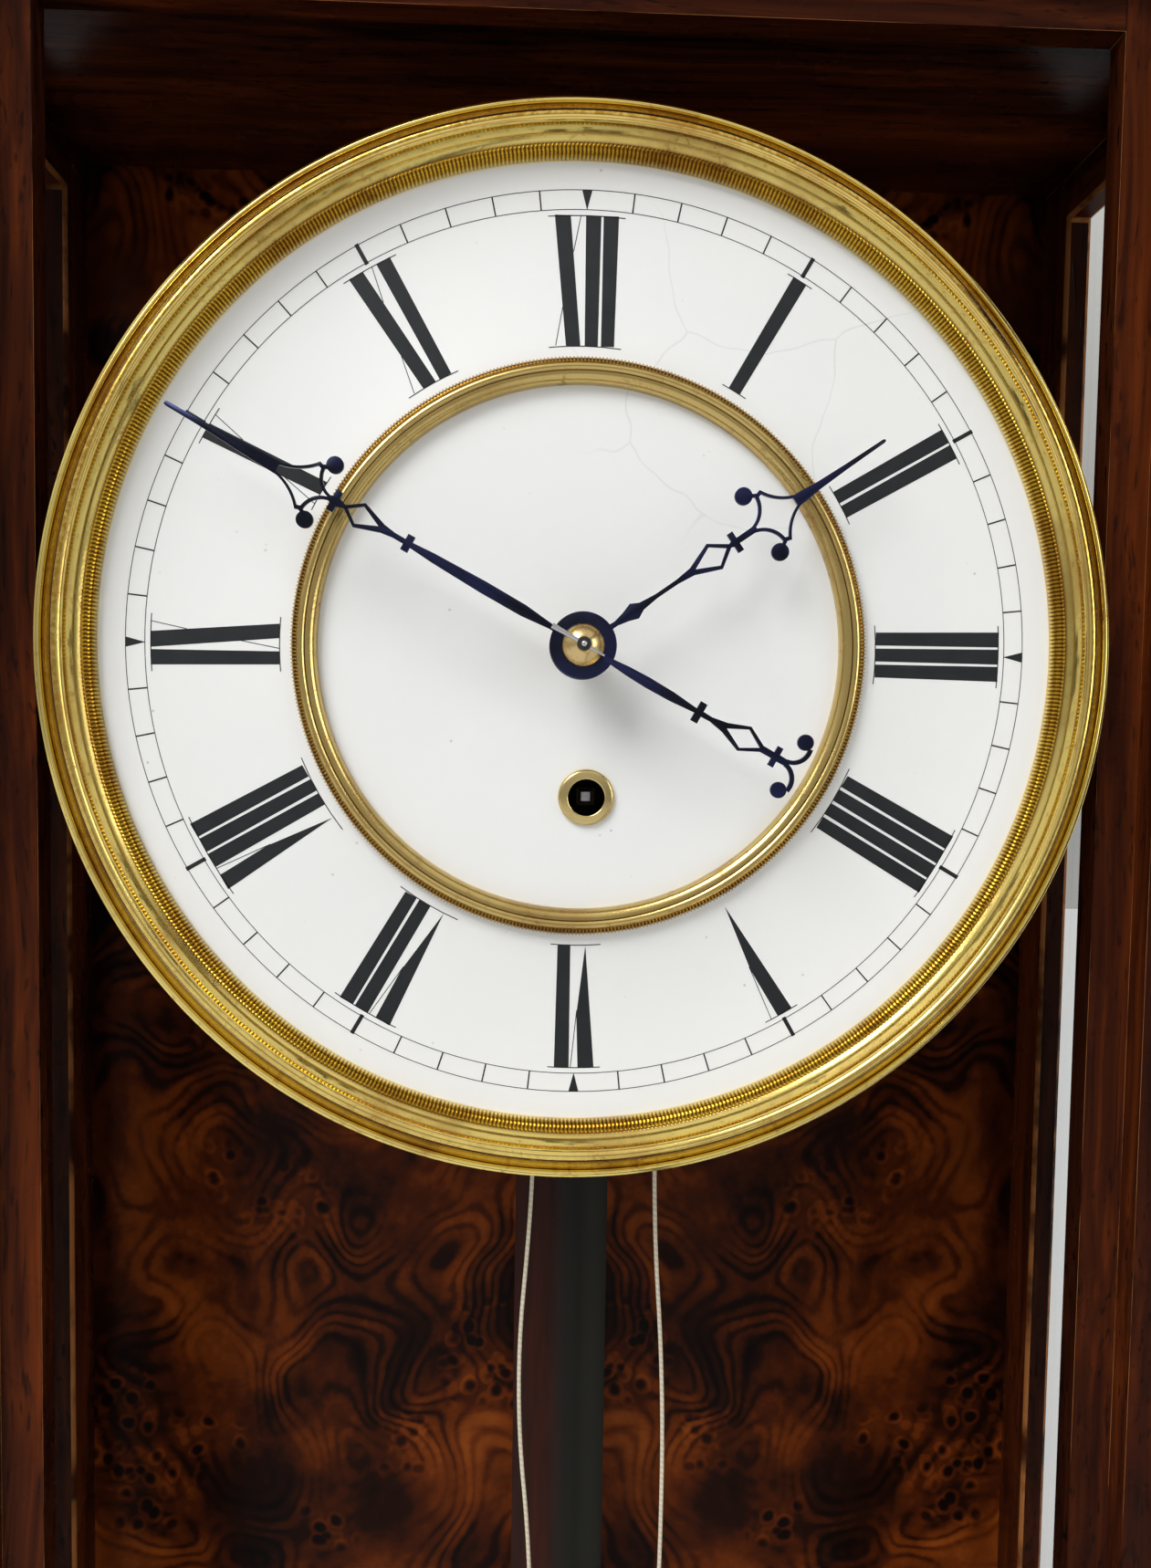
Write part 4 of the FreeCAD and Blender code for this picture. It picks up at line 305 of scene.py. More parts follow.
def burr_walnut():
    """Book-matched burr veneer, whose halves mirror each other at the middle of the board.

    The back of the board, which faces the wall, is plain sawn pine, brown with age.
    """
    f = Finish("burr_walnut")
    x, y, z = f.split(f.place())
    place = f.combine(abs(x), 0.0, z)
    drifted = f.push(place, f.drift(place, 9), 0.05)
    relief = f.noise(drifted, 27, 1.2, 0.4)
    waves = f.noise(drifted, 110, 4, 0.65)
    clouds = f.noise(drifted, 19, 5, 0.62)
    growth = (relief * 130 + waves * 4.2).sine() * 0.5 + 0.5
    shade = (relief * 37 + waves * 2.6).sine() * 0.5 + 0.5
    figured = f.noise(place, 15, 2).fade(0.36, 0.52) * f.noise(drifted, 44, 3).fade(0.3, 0.6)
    knots = f.cells(f.push(place, f.drift(place, 60), 0.006), 210)
    cluster = f.noise(place, 21, 2).fade(0.55, 0.63)
    eyes = knots.fade(0.34, 0.16)
    rims = (knots - 0.3).fade(0.0, 0.12) * (0.6 - knots).fade(0.0, 0.12)
    mottle = f.noise(drifted, 260, 3, 0.6)
    tone = clouds.fade(0.34, 0.7) * 0.56 + shade * 0.22 * figured + mottle * 0.2
    tone = tone - (growth ** 2) * figured * 0.26 + rims * cluster * 0.14 - eyes * cluster * 0.36
    behind = y.above(BOARD_BACK)
    sawn, pores = grain(f, f.place(), "Z")
    sawn = sawn + (z * SAW_MARKS + x * SAW_SLANT).sine() * 0.035
    pine = f.ramp(sawn - pores * 0.1, *PINE_STOPS)
    shine = 0.2 + clouds * 0.12
    return f.surface(
        Base_Color=f.blend(behind, f.ramp(tone, *BURR_STOPS), pine),
        Roughness=shine + (0.62 - shine) * behind,
        Specular_IOR_Level=0.05,
        Normal=f.bump(tone + (sawn - tone) * behind, 0.06, 0.3),
    )


CRACKED_PLACE = tuple(DIAL + Vector((30, 0, 52)) * MM)
CRACKED_REACH = 38 * MM
CRACKED_CORE = 22 * MM
ENAMEL_DULL = (0.85, 0.86, 0.86)
ENAMEL_WHITE = (0.89, 0.89, 0.88)
CRACK_GREY = (0.36, 0.36, 0.38)
SPECK_BROWN = (0.2, 0.19, 0.18)


def enamel():
    """Glossy white enamel, gently uneven, with faint hairline cracks between XII and I and a few specks."""
    f = Finish("enamel")
    place = f.place()
    bent = f.push(place, f.drift(place, 26, 3), 0.03)
    from_cracked = f.vector("DISTANCE", {0: place, 1: CRACKED_PLACE}, "Value")
    cracked = from_cracked.fade(CRACKED_REACH, CRACKED_CORE)
    crack = f.cells(bent, 24, "DISTANCE_TO_EDGE").fade(0.006, 0.0) * cracked
    specks = f.cells(place, 260).fade(0.09, 0.03) * f.noise(place, 70, 1).fade(0.56, 0.62)
    tint = f.blend(f.noise(place, 30, 3), ENAMEL_DULL, ENAMEL_WHITE)
    tint = f.blend(crack * 0.22, tint, CRACK_GREY)
    tint = f.blend(specks * 0.4, tint, SPECK_BROWN)
    waves = f.noise(place, 24, 2) + f.noise(place, 140, 2) * 0.06
    return f.surface(
        Base_Color=tint,
        Roughness=0.3 + f.noise(place, 18, 2) * 0.08,
        Specular_IOR_Level=0.35,
        Normal=f.bump(waves, 0.9, 0.35),
    )


def painted_black():
    """Fired black of the numerals, faintly uneven."""
    f = Finish("fired_black")
    place = f.place()
    cloud = f.noise(place, 240, 3)
    colour = f.blend(cloud, (0.006, 0.0075, 0.009), (0.018, 0.021, 0.024))
    return f.surface(
        Base_Color=colour,
        Roughness=0.38 + cloud * 0.2,
        Specular_IOR_Level=0.3,
        Normal=f.bump(cloud, 0.03, 0.4),
    )


def from_axis(f, place, centre):
    """Distance from a line through centre that runs front to back."""
    x, y, z = f.split(place)
    across = x - centre[0]
    up = z - centre[2]
    return (across * across + up * up) ** 0.5


# tarnish of the bezel: inner and outer radius in millimetres, colour, even share and speckled share
PATINA = [
    (89.3, 90.9, (0.36, 0.27, 0.08), 0.4, 0.0),
    (90.85, 91.25, (0.42, 0.13, 0.02), 0.75, 0.0),
    (91.3, 95.8, (0.5, 0.25, 0.025), 0.35, 0.6),
]
PATINA_EDGE = 0.25 * MM
# painted shade: between these heights the tarnish grows from 0.3 to its full share, darkening the bezel's
# upper half
TOP_SHADE_FOOT = DIAL_Z - 80 * MM
TOP_SHADE_HEAD = DIAL_Z + 30 * MM
TURNING_MARKS = 26000


def tarnished(f, place, colour):
    """Rings of old tarnish, deepened towards the top as painted shade on the bezel's upper half."""
    radius = from_axis(f, place, DIAL)
    speckle = f.noise(place, 950, 3, 0.75).fade(0.38, 0.6)
    # painted shade: the tarnish is weaker low on the bezel and full at its top
    shaded_top = 0.3 + f.split(place)[2].fade(TOP_SHADE_FOOT, TOP_SHADE_HEAD) * 0.7
    for inner, outer, tint, even, speckled in PATINA:
        rise = radius.fade(inner * MM, inner * MM + PATINA_EDGE)
        fall = radius.fade(outer * MM, outer * MM - PATINA_EDGE)
        colour = f.blend(rise * fall * shaded_top * (even + speckle * speckled), colour, tint)
    return colour


def brass(name, clean, aged, rough, turned_about=None, shaded_bore=0.0, tarnish=False):
    """Polished brass with tarnish in blotches and darkened grooves.

    Turned pieces carry fine rings about their own centre, and a bore is painted black inside as painted
    shade.
    """
    f = Finish(name)
    place = f.place()
    blotch = f.noise(place, 45, 4, 0.6)
    stain = blotch.fade(0.46, 0.7)
    speckle = f.noise(place, 620, 3, 0.7).fade(0.5, 0.68)
    wear = f.noise(place, 160, 3, 0.65).fade(0.42, 0.62)
    colour = f.blend(stain * 0.5 + speckle * wear * 0.45, clean, aged)
    # on the bezel the tarnish is deepened towards the top as painted shade
    if tarnish:
        colour = tarnished(f, place, colour)
    colour = f.blend(f.attribute("groove") * 0.85, colour, GROOVE_DARK)
    height = speckle * 0.6 + f.noise(place, 1500, 1) * 0.3
    if turned_about:
        radius = from_axis(f, place, turned_about)
        height = height + (radius * TURNING_MARKS + f.noise(place, 8) * 3).sine() * 0.35
        # painted shade: black inside the bore
        colour = f.blend(radius.below(shaded_bore), colour, PAINTED_SHADE_BLACK)
    return f.surface(
        Base_Color=colour,
        Metallic=1.0,
        Roughness=rough + stain * 0.1 + speckle * wear * 0.14,
        Normal=f.bump(height, 0.02, 0.35),
    )


# painted shade: black round the winding arbor within the inner radius, fading out by the outer one
HOLE_SHADE_OUTER = 6.2 * MM
HOLE_SHADE_INNER = 5.2 * MM


def plate_brass():
    """Brushed movement brass, grained up and down, painted black round the winding arbor as painted shade.
    """
    f = Finish("plate_brass")
    place = f.place()
    brushed = f.noise(f.stretched(place, (1, 1, 0.02)), 1400, 2, 0.6)
    dull = f.noise(place, 30, 3).fade(0.4, 0.75) * 0.6 + brushed * 0.2
    colour = f.blend(dull, (0.66, 0.48, 0.2), (0.44, 0.29, 0.11))
    # painted shade inside the winding hole: the plate and barrel are black round the winding arbor
    hole_shade = from_axis(f, place, WINDING).fade(HOLE_SHADE_OUTER, HOLE_SHADE_INNER)
    colour = f.blend(hole_shade, colour, PAINTED_SHADE_BLACK)
    return f.surface(
        Base_Color=colour,
        Metallic=1.0,
        Roughness=0.24 + brushed * 0.14,
        Normal=f.bump(brushed, 0.02, 0.3),
    )


def steel(name, colour, tint, rough):
    """Steel with a tint that drifts over the surface, as heat blueing does."""
    f = Finish(name)
    place = f.place()
    cloud = f.noise(place, 70, 3, 0.6)
    fine = f.noise(place, 900, 2)
    shade = f.blend(cloud.fade(0.38, 0.66), colour, tint)
    return f.surface(
        Base_Color=shade,
        Metallic=1.0,
        Roughness=rough + cloud * 0.12,
        Normal=f.bump(fine, 0.01, 0.4),
    )


def black_iron():
    """Forged iron, nearly black, with some rust."""
    f = Finish("black_iron")
    place = f.place()
    scale = f.noise(place, 240, 4, 0.65)
    rust = f.noise(place, 60, 4).fade(0.55, 0.7)
    colour = f.blend(rust * 0.5, (0.035, 0.034, 0.035), (0.12, 0.06, 0.03))
    return f.surface(
        Base_Color=colour,
        Metallic=0.6,
        Roughness=0.45 + scale * 0.2,
        Normal=f.bump(scale, 0.12, 0.6),
    )


def silvered():
    """Silvered brass, brushed from side to side, its brass showing where it is tarnished."""
    f = Finish("silvered_brass")
    place = f.place()
    brushed = f.noise(f.stretched(place, (0.03, 1, 1)), 1600, 2)
    tarnish = f.noise(place, 55, 4).fade(0.5, 0.75)
    colour = f.blend(tarnish * 0.5, (0.70, 0.69, 0.64), (0.46, 0.40, 0.28))
    return f.surface(
        Base_Color=colour,
        Metallic=1.0,
        Roughness=0.34 + brushed * 0.12,
        Normal=f.bump(brushed, 0.01, 0.4),
    )


def old_glass():
    """Clear drawn glass, slightly wavy."""
    f = Finish("old_glass")
    place = f.place()
    waves = f.noise(f.stretched(place, (1, 1, 0.4)), 22, 0)
    smear = f.noise(place, 40, 4).fade(0.45, 0.8)
    return f.surface(
        Base_Color=(0.93, 0.95, 0.94),
        Transmission_Weight=1.0,
        IOR=1.45,
        Roughness=smear * 0.02,
        Normal=f.bump(waves, 1.0, 0.12),
    )


# colours of the painted reflection on the rod's left half
ROD_REFLECTION_STOPS = ((0.4, (0.014, 0.0045, 0.003)), (0.62, (0.045, 0.0095, 0.005)))


def ebonised():
    """The pendulum rod: stained black and polished, its left half painted reddish brown as a painted
    reflection.
    """
    f = Finish("ebonised_wood")
    place = f.place()
    tone, pores = grain(f, place, "Z")
    x, y, z = f.split(place)
    streak = f.noise(f.combine(x, y, z * 0.04), 75, 2)
    black = f.blend(streak, (0.006, 0.0065, 0.006), (0.026, 0.0245, 0.019))
    # painted reflection: reddish brown on the rod's left side, fading out just past its middle
    wear_and_painted_reflection = (x + (streak - 0.5) * (6 * MM)).fade(2 * MM, -4 * MM) * streak.fade(0.25, 0.5)
    return f.surface(
        Base_Color=f.blend(wear_and_painted_reflection, black, f.ramp(tone, *ROD_REFLECTION_STOPS)),
        Roughness=0.22 + tone * 0.06,
        Specular_IOR_Level=0.09,
        Normal=f.bump(tone - pores * 0.4, 0.04, 0.3),
    )


TWIST_ALONG = 5200
TWIST_ACROSS = 1800


def gut():
    """Twisted gut: a helix of fine ridges round the line."""
    f = Finish("gut")
    x, y, z = f.split(f.place())
    twist = (z * TWIST_ALONG + x * TWIST_ACROSS + y * TWIST_ACROSS).sine() * 0.5 + 0.5
    blotch = f.noise(f.place(), 90, 3)
    colour = f.blend(blotch, (0.72, 0.62, 0.44), (0.84, 0.78, 0.64))
    colour = f.blend(twist * 0.3, colour, (0.38, 0.27, 0.14))
    return f.surface(
        Base_Color=colour,
        Roughness=0.42,
        Specular_IOR_Level=0.6,
        Normal=f.bump(twist, 0.08, 0.6),
    )


CLEAN_BRASS = (0.88, 0.69, 0.21)
AGED_BRASS = (0.38, 0.19, 0.045)
OLD_BRASS = (0.36, 0.21, 0.07)
# the eyelet is painted black inside this radius, as painted shade in its bore
EYELET_BORE = 3.36 * MM
enamel_white = enamel()
numeral_black = painted_black()
burr = burr_walnut()
bezel_brass = brass("bezel_brass", CLEAN_BRASS, AGED_BRASS, 0.13, tarnish=True)
ring_brass = brass("ring_brass", (0.60, 0.44, 0.16), (0.28, 0.15, 0.045), 0.2)
collet_brass = brass("collet_brass", (0.68, 0.5, 0.23), (0.42, 0.26, 0.1), 0.24, DIAL)
eyelet_brass = brass("eyelet_brass", (0.64, 0.5, 0.22), OLD_BRASS, 0.2, WINDING, EYELET_BORE)
case_brass = brass("case_brass", (0.64, 0.46, 0.18), OLD_BRASS, 0.18)
movement_brass = plate_brass()
blue_steel = steel("blued_steel", (0.016, 0.018, 0.028), (0.024, 0.027, 0.075), 0.26)
winding_steel = steel("winding_steel", (0.62, 0.62, 0.63), (0.3, 0.3, 0.31), 0.3)
bright_steel = steel("bright_steel", (0.56, 0.56, 0.57), (0.44, 0.44, 0.46), 0.2)
iron = black_iron()
silver = silvered()
glass = old_glass()
rod_black = ebonised()
gut_finish = gut()
across_walnut = walnut("walnut_across", "X")
deep_walnut = walnut("walnut_deep", "Y")


# Modelling

SMOOTH_UP_TO = math.radians(35)
SHARP_FROM = math.radians(30)
FLAT_WITHIN = math.radians(0.5)
SAME_CORNER = 0.002 * MM
SAME_TURNED = 0.0005 * MM


def new_piece(name, body, finish, bm, smooth=True, stands_for=()):
    """Turn a bmesh in the clock's own frame into a piece that rides on a body."""
    mesh = bpy.data.meshes.new(name)
    bm.to_mesh(mesh)
    bm.free()
    piece = bpy.data.objects.new(name, mesh)
    bpy.context.scene.collection.objects.link(piece)
    mesh.materials.append(finish)
    if smooth:
        mesh.shade_smooth()
        mesh.set_sharp_from_angle(angle=SMOOTH_UP_TO)
    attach(piece, body)
    if stands_for:
        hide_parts(*stands_for)


def body_of_node(node):
    return frame["nodes"][node]["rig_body"]


def moved_verts(made):
    """The vertices among what an operator made."""
    return [item for item in made["geom"] if isinstance(item, bmesh.types.BMVert)]


def softened(node, finish, width, sharp_from=SHARP_FROM):
    """The node's own shape with its sharp arrises eased; the eased faces are marked as worn."""
    bm = bmesh.new()
    bm.from_mesh(frame["nodes"][node].data)
    bmesh.ops.remove_doubles(bm, verts=bm.verts, dist=SAME_CORNER)
    bmesh.ops.dissolve_limit(bm, angle_limit=FLAT_WITHIN, verts=bm.verts, edges=bm.edges, delimit=set())
    sharp = [edge for edge in bm.edges if edge.is_manifold and edge.calc_face_angle(0) > sharp_from]
    wear = bm.faces.layers.float.new("wear")
    made = bmesh.ops.bevel(
        bm, geom=sharp, offset=width, affect="EDGES", segments=2, profile=0.5, material=-1,
        clamp_overlap=True,
    )
    for face in made["faces"]:
        face[wear] = 1
    new_piece(f"{node}_eased", body_of_node(node), finish, bm, stands_for=[node])


def arc(start, via, end, steps):
    """Points of a circular arc through three points, the first left out."""
    (ax, ay), (bx, by), (cx, cy) = start, via, end
    a, b, c = (x**2 + y**2 for x, y in (start, via, end))
    twice_area = 2 * (ax * (by - cy) + bx * (cy - ay) + cx * (ay - by))
    middle_x = (a * (by - cy) + b * (cy - ay) + c * (ay - by)) / twice_area
    middle_y = (a * (cx - bx) + b * (ax - cx) + c * (bx - ax)) / twice_area
    radius = math.hypot(ax - middle_x, ay - middle_y)
    first, half_way, last = (math.atan2(y - middle_y, x - middle_x) for x, y in (start, via, end))
    turn = (last - first) % math.tau
    if (half_way - first) % math.tau > turn:
        turn -= math.tau
    bearings = [first + turn * step / steps for step in range(1, steps + 1)]
    return [(middle_x + radius * math.cos(t), middle_y + radius * math.sin(t)) for t in bearings]


def rounded(profile, steps=8):
    """Expand a profile in which a third word marks a point that an arc passes through."""
    points = []
    for index, step in enumerate(profile):
        if len(step) == 3:
            points += arc(points[-1], step[:2], profile[index + 1], steps)
        elif index == 0 or len(profile[index - 1]) == 2:
            points.append(step)
    return points


def lathe(profile, centre, steps, sectors=1):
    """Turn (radius, height towards the front) points in millimetres about the Y axis through centre.

    A finely stepped ring is turned as one sector and its copies, which is far quicker.
    """
    bm = bmesh.new()
    verts = [bm.verts.new((centre.x + r * MM, centre.y - h * MM, centre.z)) for r, h in profile]
    edges = [bm.edges.new(pair) for pair in zip(verts, verts[1:] + verts[:1])]
    bmesh.ops.spin(
        bm, geom=verts + edges, cent=centre, axis=(0, 1, 0), dvec=(0, 0, 0), angle=math.tau / sectors,
        steps=steps // sectors, use_merge=sectors == 1, use_duplicate=False, use_normal_flip=False,
    )
    turned = bm.verts[:] + bm.edges[:] + bm.faces[:]
    for sector in range(1, sectors):
        made = bmesh.ops.duplicate(bm, geom=turned)
        turn = Matrix.Rotation(math.tau * sector / sectors, 3, "Y")
        bmesh.ops.rotate(bm, cent=centre, matrix=turn, verts=moved_verts(made))
    bmesh.ops.remove_doubles(bm, verts=bm.verts, dist=SAME_TURNED)
    bmesh.ops.recalc_face_normals(bm, faces=bm.faces)
    return bm


GROOVE_HALF = 0.06
FACES_FRONT = 0.35


def darken_grooves(bm, radii):
    """Mark the turned surface at some radii from the dial's centre as grooves, which are darkened."""
    groove = bm.verts.layers.float.new("groove")
    for vert in bm.verts:
        radius = math.hypot(vert.co.x - DIAL.x, vert.co.z - DIAL.z) / MM
        if vert.co.y < DIAL.y and any(abs(radius - line) < GROOVE_HALF for line in radii):
            vert[groove] = 1


def mill(bm, ribs, depth, low, high):
    """Raise milled ribs on the front of a ring about the dial's centre, between two radii."""
    middle = (low + high) / 2
    half = (high - low) / 2
    groove = bm.verts.layers.float.new("groove")
    bm.normal_update()
    for vert in bm.verts:
        across = vert.co.x - DIAL.x
        up = vert.co.z - DIAL.z
        radius = math.hypot(across, up) / MM
        if abs(radius - middle) < half and vert.normal.y < FACES_FRONT:
            share = 1 - ((radius - middle) / half) ** 4
            wave = math.cos(ribs * math.atan2(across, up))
            vert.co += vert.normal * (depth * MM * share * wave)
            vert[groove] = share * (0.5 - wave / 2)


# Rings of the dial: radius and height over the dial face, in millimetres, from the inside outwards

BEZEL_MILLED = [
    (89.0, 0.0), (86.95, 0.0), (86.95, 0.9), (87.35, 2.3, "via"), (88.5, 2.9), (88.9, 2.7), (89.0, 2.4),
]
BEZEL = [
    (88.6, 0.3), (88.8, 2.4), (89.0, 2.6), (90.2, 4.0, "via"), (90.75, 6.1), (91.5, 7.6, "via"),
    (92.6, 7.1), (92.75, 6.8), (93.0, 6.5), (94.2, 3.9, "via"), (95.9, 2.3), (96.0, 2.0), (96.1, 2.4),
    (96.5, 2.75, "via"), (96.95, 2.3), (97.05, 1.1), (97.2, 0.6), (97.8, 0.45), (98.3, 0.1), (98.3, -3.3),
    (94.0, -3.3), (94.0, -1.8), (88.6, -1.8), (88.6, 0.3),
]
BEZEL_GROOVES = (89.0, 92.75, 93.0, 96.0, 97.2)
BEZEL_STEPS = 256
BEZEL_RIBS = 760
BEZEL_RIB_DEPTH = 0.22
BEZEL_MILLING = (86.5, 89.0)
TURNED_SECTORS = 8
MILLED_SECTORS = 16
STEPS_PER_RIB = 4
TURNED_ARC = 6
MILLED_ARC = 4


def make_bezel():
    """The bezel in two rings: the turned one, and the finely milled one on its inner slope."""
    turned = lathe(rounded(BEZEL, TURNED_ARC), DIAL, BEZEL_STEPS, TURNED_SECTORS)
    darken_grooves(turned, BEZEL_GROOVES)
    new_piece("bezel_turned", ROOT, bezel_brass, turned, stands_for=["bezel"])
    milled = lathe(rounded(BEZEL_MILLED, MILLED_ARC), DIAL, BEZEL_RIBS * STEPS_PER_RIB, MILLED_SECTORS)
    mill(milled, BEZEL_RIBS, BEZEL_RIB_DEPTH, *BEZEL_MILLING)
    new_piece("bezel_milling", ROOT, bezel_brass, milled)


CENTRE_RING = [
    (47.6, 0.0), (47.6, 0.9), (48.1, 2.3, "via"), (49.4, 2.75), (49.6, 2.6), (50.4, 2.95, "via"),
    (51.0, 2.6), (51.05, 2.2), (51.05, 0.0),
]
CENTRE_MILLED = [(51.05, 2.2), (51.2, 2.25), (51.95, 1.9, "via"), (52.2, 0.9), (52.2, 0.0), (51.05, 0.0)]
CENTRE_GROOVES = (49.6, 51.0, 51.05)
CENTRE_STEPS = 192
CENTRE_RIBS = 496
CENTRE_RIB_DEPTH = 0.2
CENTRE_MILLING = (50.9, 52.7)


def make_centre_ring():
    """The ring between the enamel and the sunk centre, milled on its outer edge."""
    turned = lathe(rounded(CENTRE_RING, TURNED_ARC), DIAL, CENTRE_STEPS, TURNED_SECTORS)
    darken_grooves(turned, CENTRE_GROOVES)
    new_piece("centre_ring_turned", ROOT, ring_brass, turned, stands_for=["centre_ring"])
    milled = lathe(rounded(CENTRE_MILLED, MILLED_ARC), DIAL, CENTRE_RIBS * STEPS_PER_RIB, MILLED_SECTORS)
    mill(milled, CENTRE_RIBS, CENTRE_RIB_DEPTH, *CENTRE_MILLING)
    new_piece("centre_ring_milling", ROOT, ring_brass, milled)


EYELET = [
    (3.3, -3.2), (3.3, 0.95), (3.42, 1.15, "via"), (3.7, 1.2), (4.6, 1.1), (5.05, 0.85, "via"),
    (5.2, 0.4), (5.2, 0.0), (4.0, 0.0), (4.0, -3.2),
]
SMALL_STEPS = 96


def make_eyelet():
    bm = lathe(rounded(EYELET), Vector((WINDING.x, DIAL_FACE, WINDING.z)), SMALL_STEPS)
    new_piece("winding_eyelet_turned", ROOT, eyelet_brass, bm, stands_for=["winding_eyelet"])


SQUARE_BASE = 3.2 * MM
SQUARE_TIP = 1.8 * MM
SQUARE_RISE = 1.1 * MM
SQUARE_EASE = 0.25 * MM


def make_winding_tip():
    """The bevelled end of the winding square: only its small flat tip catches the light."""
    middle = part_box("barrel")[0].y - SQUARE_RISE / 2
    bm = bmesh.new()
    bmesh.ops.create_cone(
        bm, cap_ends=True, segments=4, depth=SQUARE_RISE,
        radius1=SQUARE_BASE / math.sqrt(2), radius2=SQUARE_TIP / math.sqrt(2),
    )
    upright = Matrix.Rotation(math.radians(45), 4, "Z")
    forward = Matrix.Rotation(math.radians(90), 4, "X")
    place = Matrix.Translation((WINDING.x, middle, WINDING.z))
    bmesh.ops.transform(bm, matrix=place @ forward @ upright, verts=bm.verts)
    rims = [edge for edge in bm.edges if all(vert.co.y < middle for vert in edge.verts)]
    bmesh.ops.bevel(bm, geom=rims, offset=SQUARE_EASE, affect="EDGES", segments=3, profile=0.5, material=-1)
    new_piece("winding_square_tip", "drum", winding_steel, bm)


COLLET = [
    (1.2, 0.0), (3.65, 0.0), (3.75, 0.12), (3.75, 0.45), (3.55, 0.85), (2.6, 1.85, "via"), (1.35, 2.6),
    (1.25, 2.75), (1.2, 2.75),
]
ARBOR_SINK = [(0.0, 0.04), (1.2, 0.04), (1.2, -0.3), (0.0, -0.3)]
ARBOR_TIP = [(0.0, 0.62), (0.32, 0.55, "via"), (0.57, 0.1), (0.57, 0.0), (0.0, 0.0)]
ARBOR_STEPS = 40


def make_collet():
    """The collet that holds the hands, and the sunk end of the arbor that it sits on."""
    seat = Vector((0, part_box("hand_collet")[1].y, DIAL_Z))
    bm = lathe(rounded(COLLET), seat, SMALL_STEPS)
    new_piece("hand_collet_turned", "minute", collet_brass, bm, stands_for=["hand_collet"])
    tip = Vector((0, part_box("centre_arbor")[0].y, DIAL_Z))
    new_piece("arbor_sink", "minute", iron, lathe(ARBOR_SINK, tip, ARBOR_STEPS))
    new_piece("arbor_tip", "minute", bright_steel, lathe(rounded(ARBOR_TIP), tip, ARBOR_STEPS))


CHAPTER = [
    (50.15, -1.5), (50.15, -0.5), (50.4, -0.1, "via"), (51.2, 0.0), (86.2, 0.0), (87.9, -0.12, "via"),
    (88.6, -0.8), (88.6, -1.8), (50.15, -1.8),
]
CHAPTER_STEPS = 256


def make_chapter_ring():
    bm = lathe(rounded(CHAPTER), DIAL, CHAPTER_STEPS)
    new_piece("chapter_ring_enamel", ROOT, enamel_white, bm, stands_for=["chapter_ring"])


# Numerals. Across is measured from the hour's own line and out from the dial's centre, in
# millimetres; a numeral's foot is at the inner radius and its head at the outer one.

FOOT = 54.5
HEAD = 77.5
STROKE_HEAD = 2.75
STROKE_FOOT = 2.55
STROKE_GAP = 0.42
HAIR = 0.14
SERIF = 0.17
SERIF_REACH = 1.2
SERIF_STEPS = 4
INK = 0.035
# each letter: its width at the head, its solid shapes and its hairlines, as points (across, down),
# with across in millimetres from its left edge and down as a share of the way from head to foot
X_SHAPES = {
    "width": 4.85,
    "solids": [[(0, 0), (2.85, 0), (4.85, 1), (2.05, 1)]],
    "hairs": [((4.7, 0), (3.41, 0.278)), ((1.44, 0.7), (0.05, 1))],
}
V_SHAPES = {
    "width": 4.4,
    "solids": [[(0, 0), (3.0, 0), (3.35, 0.44), (1.75, 1)]],
    "hairs": [((4.35, 0), (3.3, 0.47))],
}
I_SHAPES = {
    "width": STROKE_HEAD,
    "solids": [[(0, 0), (STROKE_HEAD, 0), (2.65, 1), (0.1, 1)]],
    "hairs": [],
}
LETTERS = {"I": I_SHAPES, "V": V_SHAPES, "X": X_SHAPES}
AFTER = {"I": STROKE_GAP, "V": 0.25, "X": 0.75}
HOURS = ["XII", "I", "II", "III", "IIII", "V", "VI", "VII", "VIII", "IX", "X", "XI"]


def under_ink(angle, across, out, centre):
    """A point just under the dial face, or under a scale about another centre."""
    turn = math.radians(angle)
    x = math.cos(turn) * across + math.sin(turn) * out
    z = -math.sin(turn) * across + math.cos(turn) * out
    return centre + Vector((x, INK, z)) * MM


def ink_shape(bm, angle, corners, centre=DIAL):
    """A flat inked shape that stands just proud of the enamel."""
    face = bm.faces.new([bm.verts.new(under_ink(angle, across, out, centre)) for across, out in corners])
    made = bmesh.ops.extrude_face_region(bm, geom=[face])
    bmesh.ops.translate(bm, verts=moved_verts(made), vec=(0, -2 * INK * MM, 0))


def ink_line(bm, angle, start, end, width, centre=DIAL):
    """A straight inked line between two (across, out) points."""
    first, last = Vector(start), Vector(end)
    along = last - first
    side = Vector((along.y, -along.x)).normalized() * (width / 2)
    ink_shape(bm, angle, [first + side, last + side, last - side, first - side], centre)


def ink_arc(bm, radius, start, end, width, steps):
    """A curved inked line between two bearings in degrees."""
    inner, outer = radius - width / 2, radius + width / 2
    for index in range(steps):
        low = start + (end - start) * index / steps
        high = start + (end - start) * (index + 1) / steps
        corners = []
        for bearing, r in ((low, inner), (low, outer), (high, outer), (high, inner)):
            turn = math.radians(bearing)
            corners.append((math.sin(turn) * r, math.cos(turn) * r))
        ink_shape(bm, 0, corners)


